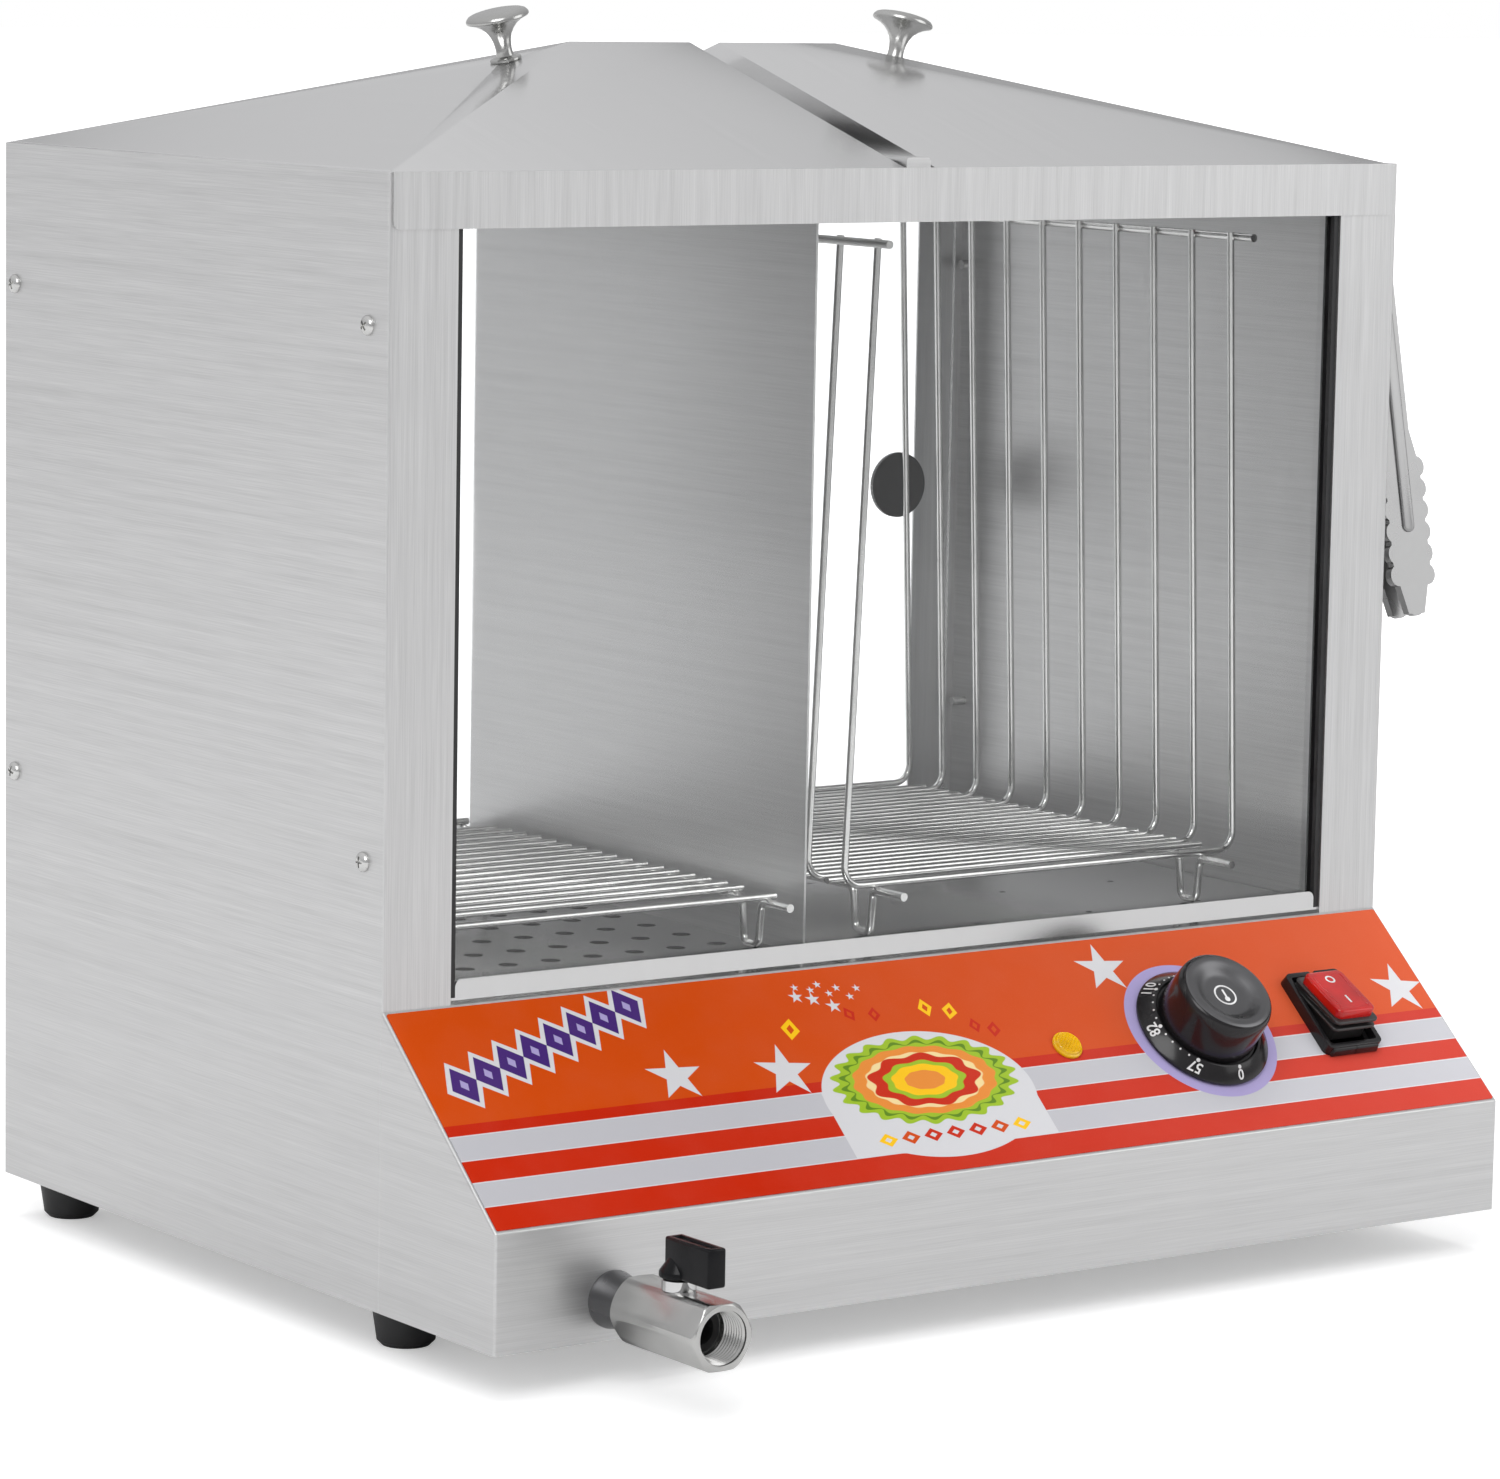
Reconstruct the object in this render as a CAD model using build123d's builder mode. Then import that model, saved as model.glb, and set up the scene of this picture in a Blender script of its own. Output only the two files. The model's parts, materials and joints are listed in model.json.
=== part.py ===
from build123d import *
from math import atan2, cos, degrees, hypot, radians, sin, tan
import os

# Countertop hot dog steamer: a stainless cabinet with two steam chambers under two
# lift-off roof lids, on a base that holds the water tank, the heater and the controls.
# Millimetres, +Z up, front towards -Y. The origin is on the counter, under the middle
# of the whole footprint, which takes in the drain valve in front and the tongs at the right.

os.makedirs("parts", exist_ok=True)

# ---------------------------------------------------------------- driving dimensions

# cabinet
width = 500.0
depth = 302.0
base_height = 117.0
wall_height = 318.0
sheet = 1.0
fold_radius = 1.2
middle_x = -14.0
front_y = -83.0
foot_height = 18.0

# sloped control box in front of the base
control_reach = 81.0
control_front_height = 46.5
label_thickness = 0.3
label_margin = 1.3

# feet
foot_top_radius = 13.5
foot_bottom_radius = 11.5
foot_inset_x = 23.0
foot_inset_y = 17.0
foot_recess_radius = 6.0
foot_recess_depth = 8.0

# screws
screw_head_radius = 4.0
screw_head_height = 2.4
screw_radius = 2.0
screw_length = 8.0
screw_clearance = 0.1

# tank, plates and heater
ledge_width = 13.0
ledge_drop = 3.8
tank_depth = 68.0
tank_margin = 15.0
tank_corner = 18.0
rim_margin = 3.0
plate_thickness = 1.0
plate_margin = 2.0
plate_gap = 1.0
bar_width = 20.0
bar_height = 12.0
steam_hole_radius = 4.0
steam_pitch_x = 20.4
steam_pitch_y = 25.6
steam_columns = 10
steam_rows = 9
bun_hole_radius = 1.5
bun_pitch_x = 60.0
bun_pitch_y = 60.0
heater_radius = 4.0
heater_height = 14.0
heater_bend = 26.0
heater_run_pitch = 78.0
heater_tail = 12.0
heater_front_gap = 30.0
heater_back_gap = 22.0
heater_nut_flats = 17.0
heater_nut_length = 8.0

# posts, rails, window and rear doors
front_post_width = 31.0
rear_post_width = 27.0
top_flange = 13.0
top_rail_height = 21.5
top_rail_overhang = 1.5
rail_corner = 3.0
bottom_rail_height = 8.0
bottom_rail_gap = 1.5
bottom_rail_inset = 2.6
glass_thickness = 4.0
glass_gap = 3.4
seal_show = 2.5
seal_wall = 1.2
seal_grip = 9.0
door_thickness = 3.0
door_overlap = 20.0
door_clearance = 0.3
track_wall = 1.2
track_depth = 10.0
sill_height = 15.0
finger_radius = 15.0
finger_inset = 30.0

# roof
roof_split_offset = 2.5
lid_gap = 15.0
lid_margin = 3.0
lid_rise = 46.0
ridge_length = 60.0
lip_depth = 3.0
lip_clearance = 1.5
beam_half_width = 25.5
beam_leg = 13.0
rib_width = 12.0
rib_height = 4.0
lid_knob_setback = 91.0
lid_knob_cap_radius = 13.0
lid_knob_height = 21.0

# partition
partition_offset = 26.5
partition_front = 37.0
partition_rear = 13.2
partition_foot = 10.0

# racks
rod_radius = 1.75
wire_radius = 1.5
weld_sink = 0.4
rest_gap = 0.3
rod_height = 20.3
leg_half_width = 5.0
leg_flare = 2.0
leg_bend = 3.5
rod_front = 31.0
rod_rear = 13.3
hot_wire_front = 46.0
hot_wire_pitch = 11.6
hot_wire_places = 21
hot_rack_left = 12.0
hot_rack_right = 8.5
hot_rod_inset = 3.0
hoop_count = 10
hoop_pitch = 25.8
hoop_front = 50.5
hoop_bottom_half = 104.0
hoop_top_half = 93.2
hoop_top_gap = 30.65
hoop_bend = 8.0
top_rod_drop = 2.0
bun_rack_offset = 4.75
bun_rod_half = 87.5
top_rod_ahead = 12.0
wires_between = 2
bun_wire_half = 100.0

# thermostat knob, pilot lamp and switch, all on the middle line of the slope
knob_inset = 129.0
knob_skirt_radius = 30.0
knob_skirt_top_radius = 23.5
knob_skirt_height = 7.0
knob_body_radius = 22.0
knob_cap_radius = 20.5
knob_height = 26.0
knob_gap = 0.5
knob_dish = 3.0
shaft_radius = 3.0
running_clearance = 0.05
bush_radius = 5.0
bush_height = 2.0
thermostat_radius = 19.0
thermostat_length = 20.0
bulb_pitch = 66.0
bulb_radius = 3.0
bulb_length = 80.0
tube_radius = 0.9
tube_offset = 10.0
tube_drop = 10.0
lamp_pitch = 70.5
lamp_radius = 6.6
lamp_height = 3.2
lamp_body_radius = 5.0
lamp_body_length = 22.0
switch_pitch = 69.5
switch_width = 30.0
switch_length = 41.0
switch_frame_height = 5.0
switch_frame_wall = 2.5
switch_hole_margin = 3.0
switch_depth = 24.0
terminal_width = 6.3
terminal_length = 8.0
terminal_pitch = 9.0
boot_width = 23.0
boot_length = 32.0
boot_core_width = 19.0
boot_core_length = 26.0
rocker_width = 20.0
rocker_length = 27.5
rocker_thickness = 4.0
rocker_tilt = 13.0
rocker_pivot_height = 3.0
rocker_height = 13.8

# drain and ball valve
valve_inset = 53.0
valve_height = 15.7
pipe_radius = 8.0
pipe_wall = 2.0
pipe_bend = 14.0
drain_setback = 24.0
nipple_length = 16.0
nipple_panel_radius = 11.2
nipple_end_radius = 9.6
valve_length = 56.5
valve_across_flats = 25.0
valve_turned_radius = 13.7
valve_stem_setback = 27.5
thread_radius = 10.4
thread_depth = 15.0
ball_radius = 8.4
ball_bore = 5.0
ball_clearance = 0.3
seat_length = 7.5
gland_radius = 6.5
gland_height = 4.5
stem_radius = 3.0
handle_thickness = 8.0
handle_hub_radius = 7.6
handle_length = 24.5
handle_height = 15.0
handle_gap = 0.4

# tongs on their hook at the right wall
tongs_outset = 17.5
tongs_lean = 11.65
hook_setback = 35.0
hook_height = 270.5
hook_radius = 2.0
hook_reach = 27.0
hook_turn_up = 8.0
hook_plate_width = 12.0
hook_plate_height = 34.0
hook_plate_thickness = 1.5
hook_screw_pitch = 21.0
tongs_thickness = 1.0
bow_radius = 6.0
arm_length = 66.0
arm_width = 12.0
arm_depth = 3.5
jaw_length = 80.0
jaw_width = 25.0
jaw_scallops = 8
jaw_scallop_radius = 4.6

# bottom plate
plate_lip = 6.0
slot_length = 60.0
slot_width = 5.0
slot_columns = 3
slot_rows = 7
slot_pitch_x = 120.0
slot_pitch_y = 16.0

# cord gland in the rear wall
gland_inset = 70.0
gland_z = 44.0
cord_bore = 4.2
gland_body_radius = 10.0
gland_length = 18.0
gland_flange = 2.0

# screws in the side walls, from the front edge, the rear edge and the seam
side_screw_front = 14.0
side_screw_rear = 9.5
side_screw_low = 56.0
side_screw_high = 260.0
bottom_screw_inset = 14.0
bottom_screw_y = 64.0
bottom_screw_rear = 12.0

# ---------------------------------------------------------------- worked-out places

left_x = middle_x - width / 2
right_x = middle_x + width / 2
rear_y = front_y + depth
middle_y = front_y + depth / 2
nose_y = front_y - control_reach
base_z = foot_height
seam_z = base_z + base_height
wall_top = seam_z + wall_height
nose_z = base_z + control_front_height
slope_drop = seam_z - nose_z
slope_length = hypot(control_reach, slope_drop)
slope_angle = degrees(atan2(slope_drop, control_reach))
ledge_z = seam_z - ledge_drop
rim_z = ledge_z + sheet
plate_z = rim_z + plate_thickness
tank_floor_z = rim_z - tank_depth
tank_width = width - 2 * tank_margin
tank_length = depth - 2 * tank_margin
valve_z = base_z + valve_height
drain_y = front_y + tank_margin + drain_setback
hook_z = seam_z + hook_height
valve_x = valve_inset - width / 2
knob_x = width / 2 - knob_inset
lamp_x = knob_x - lamp_pitch
switch_x = knob_x + switch_pitch
bulb_x = knob_x - bulb_pitch
tongs_x = width / 2 + tongs_outset
gland_x = width / 2 - gland_inset
bottom_screw_x = width / 2 - bottom_screw_inset
roof_split_x = middle_x - roof_split_offset
lid_width = (width - lid_gap) / 2 - lid_margin
partition_x = middle_x - partition_offset
bun_rack_x = (partition_x + right_x) / 2 - bun_rack_offset

foot_places = [
    (x, y)
    for x in (left_x + foot_inset_x, right_x - foot_inset_x)
    for y in (front_y + foot_inset_y, rear_y - foot_inset_y)
]
plate_screw_places = [
    (x, y)
    for x in (middle_x - bottom_screw_x, middle_x + bottom_screw_x)
    for y in (front_y - bottom_screw_y, front_y - bottom_screw_rear)
]

# the slope's own plane: X to the right, Y up the slope, Z out of the panel
slope = Plane(
    origin=(middle_x, front_y - control_reach / 2, seam_z - slope_drop / 2),
    x_dir=(1, 0, 0),
    z_dir=(0, -sin(radians(slope_angle)), cos(radians(slope_angle))),
)


def slab(low, high, mode=Mode.ADD):
    """A flat piece of sheet between two opposite corners."""
    size = [b - a for a, b in zip(low, high)]
    with Locations(tuple((a + b) / 2 for a, b in zip(low, high))):
        Box(*size, mode=mode)


def pan_screw(place, direction, length=screw_length):
    """One pan head screw: its head sits on the face at place, its shank runs inwards."""
    face = Plane(origin=place, z_dir=direction)
    with BuildSketch(face) as head:
        Circle(screw_head_radius)
    extrude(head.sketch, amount=screw_head_height, taper=12)
    with BuildSketch(face) as shank:
        Circle(screw_radius)
    extrude(shank.sketch, amount=-length)


# ---------------------------------------------------------------- base

# Base housing: four walls with an inward ledge that carries the tank rim.
with BuildPart() as base_housing:
    with BuildSketch(Plane.XY.offset(base_z)):
        with Locations((middle_x, middle_y)):
            Rectangle(width, depth)
            Rectangle(width - 2 * sheet, depth - 2 * sheet, mode=Mode.SUBTRACT)
    extrude(amount=base_height)
    fillet(edges().filter_by(Axis.Z).group_by(lambda edge: abs(edge.center().Y - middle_y))[-1], fold_radius)
    with BuildSketch(Plane.XY.offset(ledge_z - sheet)):
        with Locations((middle_x, middle_y)):
            Rectangle(width - sheet, depth - sheet)
            Rectangle(width - 2 * ledge_width, depth - 2 * ledge_width, mode=Mode.SUBTRACT)
    extrude(amount=sheet)
    # the front wall is open to the control box
    slab(
        (left_x + ledge_width, front_y - sheet, base_z - sheet),
        (right_x - ledge_width, front_y + 2 * sheet, ledge_z - ledge_width),
        mode=Mode.SUBTRACT,
    )
    slab(
        (left_x + sheet, front_y - sheet, base_z - sheet),
        (right_x - sheet, front_y + 2 * sheet, base_z + 2 * sheet),
        mode=Mode.SUBTRACT,
    )
    # hole for the cord gland, and vent slots beside it
    with BuildSketch(Plane.XZ.offset(-rear_y)):
        with Locations((middle_x + gland_x, gland_z)):
            Circle(gland_body_radius - gland_flange)
        with Locations((middle_x, gland_z)):
            with GridLocations(22, 14, 6, 2):
                SlotOverall(16, 4)
    extrude(amount=2 * sheet, both=True, mode=Mode.SUBTRACT)
base_housing.part.label = "base_housing"
export_step(base_housing.part, "parts/base_housing.step")

# Control housing: the sloped box in front, open to the base behind and below.
with BuildPart() as control_housing:
    with BuildSketch(Plane.YZ.offset(left_x)):
        with BuildLine():
            Polyline(
                (front_y, base_z), (front_y, seam_z), (nose_y, nose_z), (nose_y, base_z),
                close=True,
            )
        make_face()
    extrude(amount=width)
    offset(
        amount=-sheet,
        openings=[faces().sort_by(Axis.Y)[-1], faces().sort_by(Axis.Z)[0]],
        kind=Kind.INTERSECTION,
    )
    # folds along the nose and up the sides of the slope and the nose
    nose_edge = edges().filter_by(Axis.X).filter_by(lambda edge: abs(edge.center().Y - nose_y) < 0.01)
    side_edges = edges().filter_by(
        lambda edge: abs(abs(edge.center().X - middle_x) - width / 2) < 0.01
        and abs(edge.center().Z - nose_z) > 1
        and edge.center().Y < front_y - 1
        and edge.center().Z > base_z + 1
    )
    fillet(nose_edge.sort_by(Axis.Z)[-1:] + side_edges, fold_radius)
    with BuildSketch(slope):
        with Locations((knob_x, 0)):
            Circle(bush_radius + screw_clearance)
        with Locations((lamp_x, 0)):
            Circle(lamp_body_radius + screw_clearance)
        with Locations((switch_x, 0)):
            Rectangle(switch_width - 2 * switch_hole_margin, switch_length - 8)
    extrude(amount=-3 * sheet, mode=Mode.SUBTRACT)
    with BuildSketch(Plane.XZ.offset(-nose_y)):
        with Locations((middle_x + valve_x, valve_z)):
            Circle(pipe_radius + screw_clearance)
    extrude(amount=-3 * sheet, mode=Mode.SUBTRACT)
control_housing.part.label = "control_housing"
export_step(control_housing.part, "parts/control_housing.step")

# Printed label that covers the slope.
with BuildPart() as control_label:
    with BuildSketch(slope):
        RectangleRounded(width - 2 * label_margin, slope_length - 2 * label_margin, 1)
        with Locations((knob_x, 0)):
            Circle(bush_radius + screw_clearance, mode=Mode.SUBTRACT)
        with Locations((lamp_x, 0)):
            Circle(lamp_body_radius + screw_clearance, mode=Mode.SUBTRACT)
        with Locations((switch_x, 0)):
            Rectangle(switch_width - 2 * switch_hole_margin, switch_length - 8, mode=Mode.SUBTRACT)
    extrude(amount=label_thickness)
control_label.part.label = "control_label"
export_step(control_label.part, "parts/control_label.step")

# Bottom plate with turned-up front and rear edges, vent slots and screw holes.
with BuildPart() as bottom_plate:
    with BuildSketch(Plane.YZ.offset(left_x + sheet)):
        with BuildLine():
            rim = Polyline(
                (nose_y + sheet, base_z + plate_lip),
                (nose_y + sheet, base_z),
                (rear_y - sheet, base_z),
                (rear_y - sheet, base_z + plate_lip),
            )
            offset(rim, amount=sheet, side=Side.LEFT, kind=Kind.INTERSECTION)
        make_face()
    extrude(amount=width - 2 * sheet)
    with BuildSketch(Plane.XY.offset(base_z)):
        with Locations((middle_x, middle_y)):
            with GridLocations(slot_pitch_x, slot_pitch_y, slot_columns, slot_rows):
                SlotOverall(slot_length, slot_width)
        with Locations(*foot_places, *plate_screw_places):
            Circle(screw_radius + screw_clearance)
    extrude(amount=2 * sheet, both=True, mode=Mode.SUBTRACT)
bottom_plate.part.label = "bottom_plate"
export_step(bottom_plate.part, "parts/bottom_plate.step")

# Four moulded rubber feet, each with a recess for its screw.
with BuildPart() as feet:
    for x, y in foot_places:
        with BuildSketch(Plane(origin=(x, y, 0), x_dir=(1, 0, 0), z_dir=(0, -1, 0))):
            with BuildLine():
                Polyline(
                    (screw_radius, foot_recess_depth),
                    (foot_recess_radius, foot_recess_depth),
                    (foot_recess_radius, 0),
                    (foot_bottom_radius - 2, 0),
                    (foot_bottom_radius, 2),
                    (foot_top_radius, foot_height - 3),
                    (foot_top_radius, foot_height),
                    (screw_radius, foot_height),
                    close=True,
                )
            make_face()
        revolve(axis=Axis((x, y, 0), (0, 0, 1)))
feet.part.label = "feet"
export_step(feet.part, "parts/feet.step")

# Screws from below: one in each foot, and four that hold the bottom plate's front.
with BuildPart() as bottom_screws:
    for x, y in foot_places:
        pan_screw((x, y, foot_recess_depth), (0, 0, -1), foot_height - foot_recess_depth + 4)
    for x, y in plate_screw_places:
        pan_screw((x, y, base_z), (0, 0, -1), screw_length)
bottom_screws.part.label = "bottom_screws"
export_step(bottom_screws.part, "parts/bottom_screws.step")

# ---------------------------------------------------------------- tank, heater and drain

# Water tank: a pan with round corners, hung by its rim on the ledge of the base.
with BuildPart() as water_tank:
    with BuildSketch(Plane.XY.offset(tank_floor_z)):
        with Locations((middle_x, middle_y)):
            RectangleRounded(tank_width, tank_length, tank_corner)
    extrude(amount=tank_depth)
    offset(amount=-sheet, openings=faces().sort_by(Axis.Z)[-1])
    with BuildSketch(Plane.XY.offset(ledge_z)):
        with Locations((middle_x, middle_y)):
            Rectangle(width - 2 * rim_margin, depth - 2 * rim_margin)
            RectangleRounded(
                tank_width - sheet, tank_length - sheet, tank_corner, mode=Mode.SUBTRACT
            )
    extrude(amount=sheet)
    # drain hole in the floor, and two holes for the heater's ends in the front wall
    with BuildSketch(Plane.XY.offset(tank_floor_z)):
        with Locations((middle_x + valve_x, drain_y)):
            Circle(pipe_radius - pipe_wall)
    extrude(amount=2 * sheet, mode=Mode.SUBTRACT)
    with BuildSketch(Plane.XZ.offset(-front_y - tank_margin)):
        with Locations((middle_x, tank_floor_z + heater_height)):
            with GridLocations(3 * heater_run_pitch, 1, 2, 1):
                Circle(heater_radius + running_clearance)
    extrude(amount=-2 * sheet, mode=Mode.SUBTRACT)
water_tank.part.label = "water_tank"
export_step(water_tank.part, "parts/water_tank.step")

# Cross bar under the joint of the two chamber plates, from tank wall to tank wall.
with BuildPart() as plate_bar:
    with BuildSketch(Plane.XZ.offset(-front_y - tank_margin - sheet)):
        with BuildLine():
            fold = Polyline(
                (partition_x - bar_width / 2, rim_z - bar_height),
                (partition_x - bar_width / 2, rim_z),
                (partition_x + bar_width / 2, rim_z),
                (partition_x + bar_width / 2, rim_z - bar_height),
            )
            offset(fold, amount=sheet, side=Side.RIGHT, kind=Kind.INTERSECTION)
        make_face()
    extrude(amount=-(tank_length - 2 * sheet))
plate_bar.part.label = "plate_bar"
export_step(plate_bar.part, "parts/plate_bar.step")

# Tubular heater: four runs over the tank floor, both ends out through the front wall.
heater_z = tank_floor_z + heater_height
heater_front = front_y + tank_margin + heater_front_gap
heater_back = rear_y - tank_margin - heater_back_gap
heater_end = front_y - heater_tail
heater_x = [middle_x + (i - 1.5) * heater_run_pitch for i in range(4)]
with BuildPart() as heater:
    with BuildLine():
        FilletPolyline(
            (heater_x[0], heater_end, heater_z),
            (heater_x[0], heater_back, heater_z),
            (heater_x[1], heater_back, heater_z),
            (heater_x[1], heater_front, heater_z),
            (heater_x[2], heater_front, heater_z),
            (heater_x[2], heater_back, heater_z),
            (heater_x[3], heater_back, heater_z),
            (heater_x[3], heater_end, heater_z),
            radius=heater_bend,
        )
    with BuildSketch(Plane(origin=(heater_x[0], heater_end, heater_z), z_dir=(0, 1, 0))):
        Circle(heater_radius)
    sweep()
heater.part.label = "heater"
export_step(heater.part, "parts/heater.step")

# Two gland nuts that seal the heater's ends in the tank wall.
with BuildPart() as heater_nuts:
    with BuildSketch(Plane.XZ.offset(-front_y - tank_margin)):
        with Locations((middle_x, heater_z)):
            with GridLocations(3 * heater_run_pitch, 1, 2, 1):
                RegularPolygon(heater_nut_flats / 2, 6, major_radius=False)
                Circle(heater_radius + running_clearance, mode=Mode.SUBTRACT)
    extrude(amount=heater_nut_length)
heater_nuts.part.label = "heater_nuts"
export_step(heater_nuts.part, "parts/heater_nuts.step")

# Drain pipe: down from the tank floor, then forwards through the control box.
pipe_top = (middle_x + valve_x, drain_y, tank_floor_z)
pipe_corner = (middle_x + valve_x, drain_y, valve_z)
pipe_end = (middle_x + valve_x, nose_y - nipple_length - thread_depth + 3, valve_z)
with BuildPart() as drain_pipe:
    with BuildLine():
        FilletPolyline(pipe_top, pipe_corner, pipe_end, radius=pipe_bend)
    with BuildSketch(Plane(origin=pipe_top, z_dir=(0, 0, -1))):
        Circle(pipe_radius)
        Circle(pipe_radius - pipe_wall, mode=Mode.SUBTRACT)
    sweep()
drain_pipe.part.label = "drain_pipe"
export_step(drain_pipe.part, "parts/drain_pipe.step")

# Flared nipple over the pipe, in front of the control housing.
valve_axis = Axis((middle_x + valve_x, nose_y, valve_z), (0, -1, 0))
valve_plane = Plane(origin=(middle_x + valve_x, nose_y, valve_z), x_dir=(1, 0, 0), z_dir=(0, 0, 1))
with BuildPart() as drain_nipple:
    with BuildSketch(valve_plane):
        with BuildLine():
            l1 = Line((pipe_radius, 0), (nipple_panel_radius, 0))
            l2 = Line(l1 @ 1, (nipple_panel_radius, -1.2))
            l3 = Spline(
                l2 @ 1,
                (nipple_end_radius + 0.3, -0.6 * nipple_length),
                (nipple_end_radius, -nipple_length),
            )
            Polyline(l3 @ 1, (pipe_radius, -nipple_length), (pipe_radius, 0))
        make_face()
    revolve(axis=valve_axis)
drain_nipple.part.label = "drain_nipple"
export_step(drain_nipple.part, "parts/drain_nipple.step")

# Ball valve body: a hexagon bar with turned corners, bored and threaded at both ends.
valve_back = nose_y - nipple_length
valve_front = valve_back - valve_length
valve_face = Plane(origin=(middle_x + valve_x, valve_back, valve_z), z_dir=(0, -1, 0), x_dir=(1, 0, 0))
stem_y = valve_back - valve_stem_setback
seat_depth = valve_length - valve_stem_setback - thread_depth
cavity_radius = ball_radius + ball_clearance
with BuildPart() as valve_body:
    with BuildSketch(valve_face):
        RegularPolygon(valve_across_flats / 2, 6, major_radius=False)
    extrude(amount=valve_length)
    with BuildSketch(valve_plane):
        with BuildLine():
            Polyline(
                (0, -nipple_length),
                (valve_across_flats / 2 - 1, -nipple_length),
                (valve_turned_radius, -nipple_length - 2.5),
                (valve_turned_radius, -nipple_length - valve_length + 1.2),
                (valve_across_flats / 2 - 0.3, -nipple_length - valve_length),
                (0, -nipple_length - valve_length),
                close=True,
            )
        make_face()
    revolve(axis=valve_axis, mode=Mode.INTERSECT)
    with BuildSketch(valve_face):
        Circle(pipe_radius)
    extrude(amount=thread_depth - 3, mode=Mode.SUBTRACT)
    with BuildSketch(valve_face):
        Circle(pipe_radius - pipe_wall)
    extrude(amount=valve_stem_setback, mode=Mode.SUBTRACT)
    # ball chamber, open to the front, and the threaded outlet with its bevelled mouth
    with Locations((middle_x + valve_x, stem_y, valve_z)):
        Sphere(cavity_radius, mode=Mode.SUBTRACT)
    with BuildSketch(valve_face.offset(valve_stem_setback)):
        Circle(cavity_radius)
    extrude(amount=seat_depth, mode=Mode.SUBTRACT)
    with BuildSketch(valve_face.offset(valve_length - thread_depth)):
        Circle(thread_radius)
    extrude(amount=thread_depth, mode=Mode.SUBTRACT)
    # stem hole in the top flat
    with BuildSketch(Plane(origin=(middle_x + valve_x, stem_y, valve_z))):
        Circle(stem_radius + running_clearance)
    extrude(amount=valve_across_flats, mode=Mode.SUBTRACT)
valve_body.part.label = "valve_body"
export_step(valve_body.part, "parts/valve_body.step")

# Seat ring between the ball and the outlet thread.
with BuildPart() as valve_seat:
    with BuildSketch(valve_face.offset(valve_length - thread_depth - seat_length)):
        Circle(cavity_radius)
        Circle(ball_bore + 1, mode=Mode.SUBTRACT)
    extrude(amount=seat_length)
valve_seat.part.label = "valve_seat"
export_step(valve_seat.part, "parts/valve_seat.step")

# Chromed neck on the top flat, around the stem.
flat_z = valve_z + valve_across_flats / 2
with BuildPart() as valve_neck:
    with BuildSketch(Plane(origin=(middle_x + valve_x, stem_y, flat_z))):
        Circle(gland_radius)
        Circle(stem_radius + running_clearance, mode=Mode.SUBTRACT)
    extrude(amount=gland_height)
    chamfer(edges().filter_by(GeomType.CIRCLE).group_by(Axis.Z)[-1].sort_by(SortBy.RADIUS)[-1], 0.6)
valve_neck.part.label = "valve_neck"
export_step(valve_neck.part, "parts/valve_neck.step")

# Ball with its bore along the pipe, and a flat on top for the stem.
ball_flat = ball_radius - 2.0
with BuildPart() as valve_ball:
    with Locations((middle_x + valve_x, stem_y, valve_z)):
        Sphere(ball_radius)
    with BuildSketch(Plane.XZ.offset(-stem_y)):
        with Locations((middle_x + valve_x, valve_z)):
            Circle(ball_bore)
    extrude(amount=2 * ball_radius, both=True, mode=Mode.SUBTRACT)
    split(bisect_by=Plane.XY.offset(valve_z + ball_flat), keep=Keep.BOTTOM)
valve_ball.part.label = "valve_ball"
export_step(valve_ball.part, "parts/valve_ball.step")

# Stem from the ball up into the handle.
handle_z = flat_z + gland_height + handle_gap
with BuildPart() as valve_stem:
    with BuildSketch(Plane(origin=(middle_x + valve_x, stem_y, valve_z + ball_flat))):
        Circle(stem_radius)
    extrude(amount=handle_z - valve_z - ball_flat + 6)
valve_stem.part.label = "valve_stem"
export_step(valve_stem.part, "parts/valve_stem.step")

# Handle: a flat grip with a cone-shaped hub over the stem.
with BuildPart() as valve_handle:
    with BuildSketch(Plane.YZ.offset(middle_x + valve_x)):
        with BuildLine():
            Polyline(
                (stem_y + 0.6 * handle_hub_radius, handle_z),
                (stem_y + 0.5 * handle_hub_radius, handle_z + handle_height),
                (stem_y - handle_length, handle_z + handle_height),
                (stem_y - handle_length, handle_z),
                close=True,
            )
        make_face()
        fillet(vertices().sort_by(Axis.X)[0:2], 1.2)
    extrude(amount=handle_thickness / 2, both=True)
    with Locations((middle_x + valve_x, stem_y, handle_z)):
        Cylinder(handle_hub_radius, 2.2, align=(Align.CENTER, Align.CENTER, Align.MIN))
    with Locations((middle_x + valve_x, stem_y, handle_z + 2.2)):
        Cone(
            handle_hub_radius, 0.6, 0.65 * handle_height,
            align=(Align.CENTER, Align.CENTER, Align.MIN),
        )
    with Locations((middle_x + valve_x, stem_y, handle_z)):
        Cylinder(
            stem_radius, 6, align=(Align.CENTER, Align.CENTER, Align.MIN), mode=Mode.SUBTRACT
        )
valve_handle.part.label = "valve_handle"
export_step(valve_handle.part, "parts/valve_handle.step")

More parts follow.
